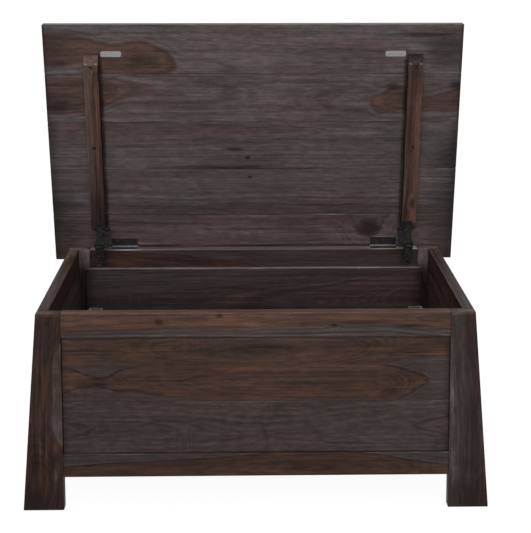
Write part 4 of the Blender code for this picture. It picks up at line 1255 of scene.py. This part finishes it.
def model_screw():
    """A countersunk screw with a cross in its head. Its head is at the origin and looks up."""
    bpy.ops.object.select_all(action="DESELECT")
    bpy.ops.mesh.primitive_cone_add(
        vertices=SCREW_SIDES, radius1=SCREW_SHANK, radius2=SCREW_HEAD, depth=SCREW_SINK,
        location=(0.0, 0.0, -SCREW_SINK / 2),
    )
    screw = bpy.context.active_object
    bpy.ops.object.transform_apply(location=True, rotation=True, scale=True)
    pick_faces(screw, lambda normal: normal.z < -UPRIGHT)
    bpy.ops.mesh.extrude_region_move(TRANSFORM_OT_translate={"value": (0.0, 0.0, -SCREW_STEM)})
    pick_faces(screw, lambda normal: normal.z > UPRIGHT)
    bpy.ops.mesh.inset(thickness=SCREW_INSET)
    bpy.ops.transform.translate(value=(0.0, 0.0, SCREW_CROWN))
    bpy.ops.object.mode_set(mode="OBJECT")
    long = CROSS_LENGTH / 2
    narrow = CROSS_WIDTH / 2
    for half_x, half_y in ((long, narrow), (narrow, long)):
        cutter = bar("cross", (-half_x, -half_y, -CROSS_DEPTH), (half_x, half_y, SCREW_SINK))
        combine(screw, cutter, "DIFFERENCE")
    return screw


def facing(point, outwards, spin):
    """Puts a screw at a point, with its head looking outwards and turned about itself."""
    turn = UPWARDS.rotation_difference(Vector(outwards)).to_matrix().to_4x4()
    return Matrix.Translation(point) @ turn @ Matrix.Rotation(spin, 4, "Z")


def add_copies(name, pattern, places, body, material):
    """Copies of one pattern at several places, joined into one piece that rides on a body."""
    copies = []
    for place in places:
        copy = bpy.data.objects.new(name, pattern.data.copy())
        copy.data.transform(place)
        bpy.context.collection.objects.link(copy)
        copies.append(copy)
    bpy.ops.object.select_all(action="DESELECT")
    for copy in copies:
        copy.select_set(True)
    bpy.context.view_layer.objects.active = copies[0]
    bpy.ops.object.join()
    finish_piece(copies[0], name, body, material)


def finish_piece(piece, name, body, material):
    """Names a new piece, gives it its finish and lets it ride on its body."""
    piece.name = name
    piece.data.name = name
    piece.data.materials.clear()
    piece.data.materials.append(material)
    bpy.ops.object.select_all(action="DESELECT")
    piece.select_set(True)
    bpy.context.view_layer.objects.active = piece
    bpy.ops.object.shade_smooth_by_angle(angle=SMOOTH_ANGLE)
    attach(piece, body)


def screw_places(hand):
    """Groups of screws on one side: name, body, finish, the places of their heads, and which way these look.

    The places on the lid are for a closed lid, from the hinge axis.
    """
    sign = SIDES[hand]
    hinge = sign * HINGE_CENTRE
    stay = sign * STAY_CENTRE
    catch = sign * CATCH_CENTRE
    steps = (-HINGE_SCREW_STEP, 0.0, HINGE_SCREW_STEP)
    rim_leaf = [(hinge + step, LID_AXIS.y + LEAF_SCREWS_Y, LID_AXIS.z - LEAF_FACE) for step in steps]
    lid_leaf = [(hinge + step, LEAF_SCREWS_Y, LEAF_FACE) for step in steps]
    base_low, base_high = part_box(f"stay_base_{hand}")
    base_y = base_high[1] - STAY_PLATE
    base_z = (base_low[2] + base_high[2]) / 2
    base = [(stay, base_y, base_z + step) for step in (-STAY_BASE_SPREAD, STAY_BASE_SPREAD)]
    bracket = [(stay + step, BRACKET_SCREWS_Y, BRACKET_FACE) for step in (-BRACKET_SPREAD, BRACKET_SPREAD)]
    strike = [(catch + step, STRIKE_Y, STRIKE_FACE) for step in (-STRIKE_SPREAD, STRIKE_SPREAD)]
    catch_low, catch_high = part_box(f"catch_{hand}")
    catch_z = (catch_low[2] + catch_high[2]) / 2
    back = catch_high[1] - CATCH_BORE_DEPTH
    held = [(catch + step, back, catch_z) for step in (-CATCH_SPREAD, CATCH_SPREAD)]
    return [
        ("hinge_rim_screws", "carcass", "dark_steel", rim_leaf, (0, 0, 1)),
        ("hinge_lid_screws", "lid", "dark_steel", lid_leaf, (0, 0, -1)),
        ("stay_base_screws", "carcass", "dark_steel", base, (0, -1, 0)),
        ("stay_lid_screws", "lid", "black_steel", bracket, (0, 0, -1)),
        ("strike_screws", "lid", "zinc", strike, (0, 0, -1)),
        ("catch_screws", "carcass", "zinc", held, (0, 1, 0)),
    ]


def add_screws(finishes):
    """The screws of the hinges, stays, strike plates and catches, all copied from one."""
    pattern = model_screw()
    chance = random.Random(SCREW_SEED)
    for hand in SIDES:
        for name, body, slot, points, outwards in screw_places(hand):
            stand = LID_OPEN if body == "lid" else Matrix.Identity(4)
            places = [stand @ facing(point, outwards, chance.uniform(0.0, math.pi)) for point in points]
            add_copies(f"{name}_{hand}", pattern, places, body, finishes[slot])
    bpy.data.objects.remove(pattern)


def model_catch_housing(low, high):
    """The catch's plastic housing: rounded, with a slot for the magnet above and two bores for its screws."""
    housing = bar("catch_housing", low, high)
    soften(housing, HOUSING_ROUNDING, HOUSING_SEGMENTS)
    middle_x, middle_y, middle_z = ((first + last) / 2 for first, last in zip(low, high))
    width, depth, height = MAGNET_SLOT
    slot_low = (middle_x - width / 2, middle_y - depth / 2, high[2] - height)
    slot_high = (middle_x + width / 2, middle_y + depth / 2, high[2] + height)
    combine(housing, bar("magnet_slot", slot_low, slot_high), "DIFFERENCE")
    for step in (-CATCH_SPREAD, CATCH_SPREAD):
        mouth = (middle_x + step, high[1], middle_z)
        bore = rod("screw_bore", CATCH_BORE, 2 * CATCH_BORE_DEPTH, mouth, BORE_SIDES, LYING_BACK)
        combine(housing, bore, "DIFFERENCE")
    return housing


def model_catch_magnet(low, high):
    """A magnet between two steel pole plates, just below the top of the housing."""
    middle_x, middle_y = ((low[axis] + high[axis]) / 2 for axis in (0, 1))
    left = middle_x - (MAGNET_SLOT[0] / 2 - MAGNET_PLAY)
    right = middle_x + (MAGNET_SLOT[0] / 2 - MAGNET_PLAY)
    deep = high[2] - MAGNET_SLOT[2] - MAGNET_ROOT
    inner, outer = (MAGNET_SLOT[1] / 2 - inset for inset in POLE_PLATE)
    top = high[2] - MAGNET_DROP
    magnet = bar("magnet", (left, middle_y - inner, deep), (right, middle_y + inner, top))
    for side in (-1, 1):
        near, far = sorted((middle_y + side * inner, middle_y + side * outer))
        plate = bar("pole_plate", (left, near, deep), (right, far, high[2] - POLE_DROP))
        combine(magnet, plate, "UNION")
    soften(magnet, MAGNET_ROUNDING)
    return magnet


def add_catches(finishes):
    """Magnetic catches in place of the plain blocks."""
    for hand in SIDES:
        node = f"catch_{hand}"
        low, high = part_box(node)
        housing = model_catch_housing(low, high)
        finish_piece(housing, f"catch_housing_{hand}", "carcass", finishes["grey_plastic"])
        magnet = model_catch_magnet(low, high)
        finish_piece(magnet, f"catch_magnet_{hand}", "carcass", finishes["dark_steel"])
        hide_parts(node)


def model_stay_bracket(centre_x):
    """The stay's short plate under the batten, with two ears that hold the rivet, made for a closed lid."""
    width, length = BRACKET_SIZE
    low = (centre_x - width / 2, BRACKET_REAR - length, BRACKET_FACE)
    high = (centre_x + width / 2, BRACKET_REAR, BRACKET_FACE + STAY_PLATE)
    bracket = bar("stay_bracket", low, high)
    soften(bracket, BRACKET_ROUNDING)
    pivot_y, pivot_z = BRACKET_PIVOT
    root = BRACKET_FACE + STAY_PLATE / 2
    for side in (-1, 1):
        near, far = sorted(centre_x + side * place for place in BRACKET_EARS)
        ear = bar("bracket_ear", (near, pivot_y - LINK_RADIUS, pivot_z), (far, pivot_y + LINK_RADIUS, root))
        pivot = ((near + far) / 2, pivot_y, pivot_z)
        rounding = rod("ear_rounding", LINK_RADIUS, far - near, pivot, EAR_SIDES, LYING_ASIDE)
        combine(ear, rounding, "UNION")
        combine(bracket, ear, "UNION")
    bracket.data.transform(LID_OPEN)
    return bracket


def add_stay_brackets(finishes):
    """The lid brackets of the stays, shorter than their plain solids, as in the photo."""
    for hand, sign in SIDES.items():
        bracket = model_stay_bracket(sign * STAY_CENTRE)
        finish_piece(bracket, f"stay_bracket_{hand}", "lid", finishes["black_steel"])
        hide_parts(f"stay_lid_bracket_{hand}")


def model_stay_spring(sign):
    """A stay's sprung side plate, with a lip, two holes and a bridge to the link. Its knee is the origin."""
    near, far = sorted(-sign * place for place in SPRING_PLATE_SIDE)
    start, end = SPRING_PLATE_ALONG
    low, high = SPRING_PLATE_UP
    plate = bar("spring_plate", (near, start, low), (far, end, high))
    lip_length, lip_height = SPRING_LIP
    lip = bar("spring_lip", (near, end - lip_length, low), (far, end, high + lip_height))
    combine(plate, lip, "UNION")
    for place in SPRING_PLATE_HOLES:
        middle = ((near + far) / 2, place, low)
        hole = rod("spring_hole", SPRING_PLATE_HOLE, HOLE_CUTTER, middle, HOLE_SIDES)
        combine(plate, hole, "DIFFERENCE")
    near, far = sorted(-sign * place for place in SPRING_BRIDGE_SIDE)
    start, end = SPRING_BRIDGE_ALONG
    combine(plate, bar("spring_bridge", (near, start, SPRING_BRIDGE_LOW), (far, end, high)), "UNION")
    soften(plate, SPRING_ROUNDING)
    return plate


def add_stay_springs(finishes):
    """The sprung side plate of each stay, beside its link on the side towards the middle of the trunk."""
    for hand, sign in SIDES.items():
        link_low, link_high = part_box(f"stay_link_{hand}")
        knee = Vector((sign * STAY_CENTRE, link_low[1] + LINK_RADIUS, link_low[2] + LINK_RADIUS))
        lid_end = Vector((sign * STAY_CENTRE, link_high[1] - LINK_RADIUS, link_high[2] - LINK_RADIUS))
        along = (lid_end - knee).normalized()
        turn = Matrix((RIGHT, along, RIGHT.cross(along))).transposed().to_4x4()
        plate = model_stay_spring(sign)
        plate.data.transform(Matrix.Translation(knee) @ turn)
        finish_piece(plate, f"stay_spring_{hand}", f"stay_link_{hand}", finishes["black_steel"])


def set_stage():
    """A floor that shows white to the camera with a faint shadow, and throws little light on the object."""
    bpy.ops.mesh.primitive_plane_add(size=FLOOR_SIZE)
    floor = bpy.context.active_object
    floor.name = "studio_floor"
    material, net = new_material("studio_floor")
    nodes = material.node_tree.nodes
    nodes.remove(nodes["Principled BSDF"])
    rays = net.add("ShaderNodeLightPath").outputs
    seen = net.most([rays["Is Camera Ray"], rays["Is Glossy Ray"], rays["Is Transmission Ray"]])
    bounce = net.add("ShaderNodeBsdfDiffuse", {"Color": (*[FLOOR_BOUNCE] * 3, 1.0)}).outputs[0]
    pale = net.add("ShaderNodeBsdfDiffuse", {"Color": (*[FLOOR_WHITE] * 3, 1.0)}).outputs[0]
    glow = net.add("ShaderNodeEmission", {"Strength": FLOOR_GLOW}).outputs[0]
    white = net.add("ShaderNodeAddShader", {0: pale, 1: glow}).outputs[0]
    mixed = net.add("ShaderNodeMixShader", {0: seen, 1: bounce, 2: white}).outputs[0]
    net.feed(nodes["Material Output"].inputs["Surface"], mixed)
    floor.data.materials.append(material)


def set_world():
    """White to the camera, and a softer light on the object."""
    world = bpy.data.worlds.new("studio")
    bpy.context.scene.world = world
    world.use_nodes = True
    net = NodeNet(world.node_tree)
    rays = net.add("ShaderNodeLightPath").outputs
    background = world.node_tree.nodes["Background"]
    background.inputs["Color"].default_value = (1.0, 1.0, 1.0, 1.0)
    net.feed(background.inputs["Strength"], net.ease(rays["Is Camera Ray"], 0.0, 1.0, WORLD_LIGHT, 1.0))


def set_lamps():
    """Broad, even lamps that shine from their places towards the object, and as far as the floor goes."""
    for name, (place, spread, power) in LAMPS.items():
        lamp = bpy.data.lights.new(name, "SUN")
        lamp.angle = math.radians(spread)
        lamp.energy = power
        holder = bpy.data.objects.new(name, lamp)
        bpy.context.collection.objects.link(holder)
        holder.location = place
        holder.rotation_euler = (-Vector(place)).to_track_quat("-Z", "Y").to_euler()


def set_camera():
    lens = bpy.data.cameras.new("camera")
    lens.sensor_fit = "VERTICAL"
    lens.sensor_height = FILM_HEIGHT
    lens.lens = CAMERA_LENS
    camera = bpy.data.objects.new("camera", lens)
    bpy.context.collection.objects.link(camera)
    camera.location = CAMERA_PLACE
    camera.rotation_euler = (math.pi / 2 - CAMERA_PITCH, 0.0, -CAMERA_YAW)
    bpy.context.scene.camera = camera


FINISHES = {name: worn_metal(name, *values) for name, values in FITTING_FINISHES.items()}
FINISHES["hinge_steel"] = worn_metal("hinge_steel", *FITTING_FINISHES["dark_steel"], HINGE_BARREL)
finish_lid_wood()
finish_legs()
finish_carcass_wood()
finish_fittings(FINISHES)
add_screws(FINISHES)
add_catches(FINISHES)
add_stay_brackets(FINISHES)
add_stay_springs(FINISHES)
bpy.ops.object.select_all(action="DESELECT")
set_stage()
set_world()
set_lamps()
set_camera()
bpy.context.scene.view_settings.view_transform = "Standard"
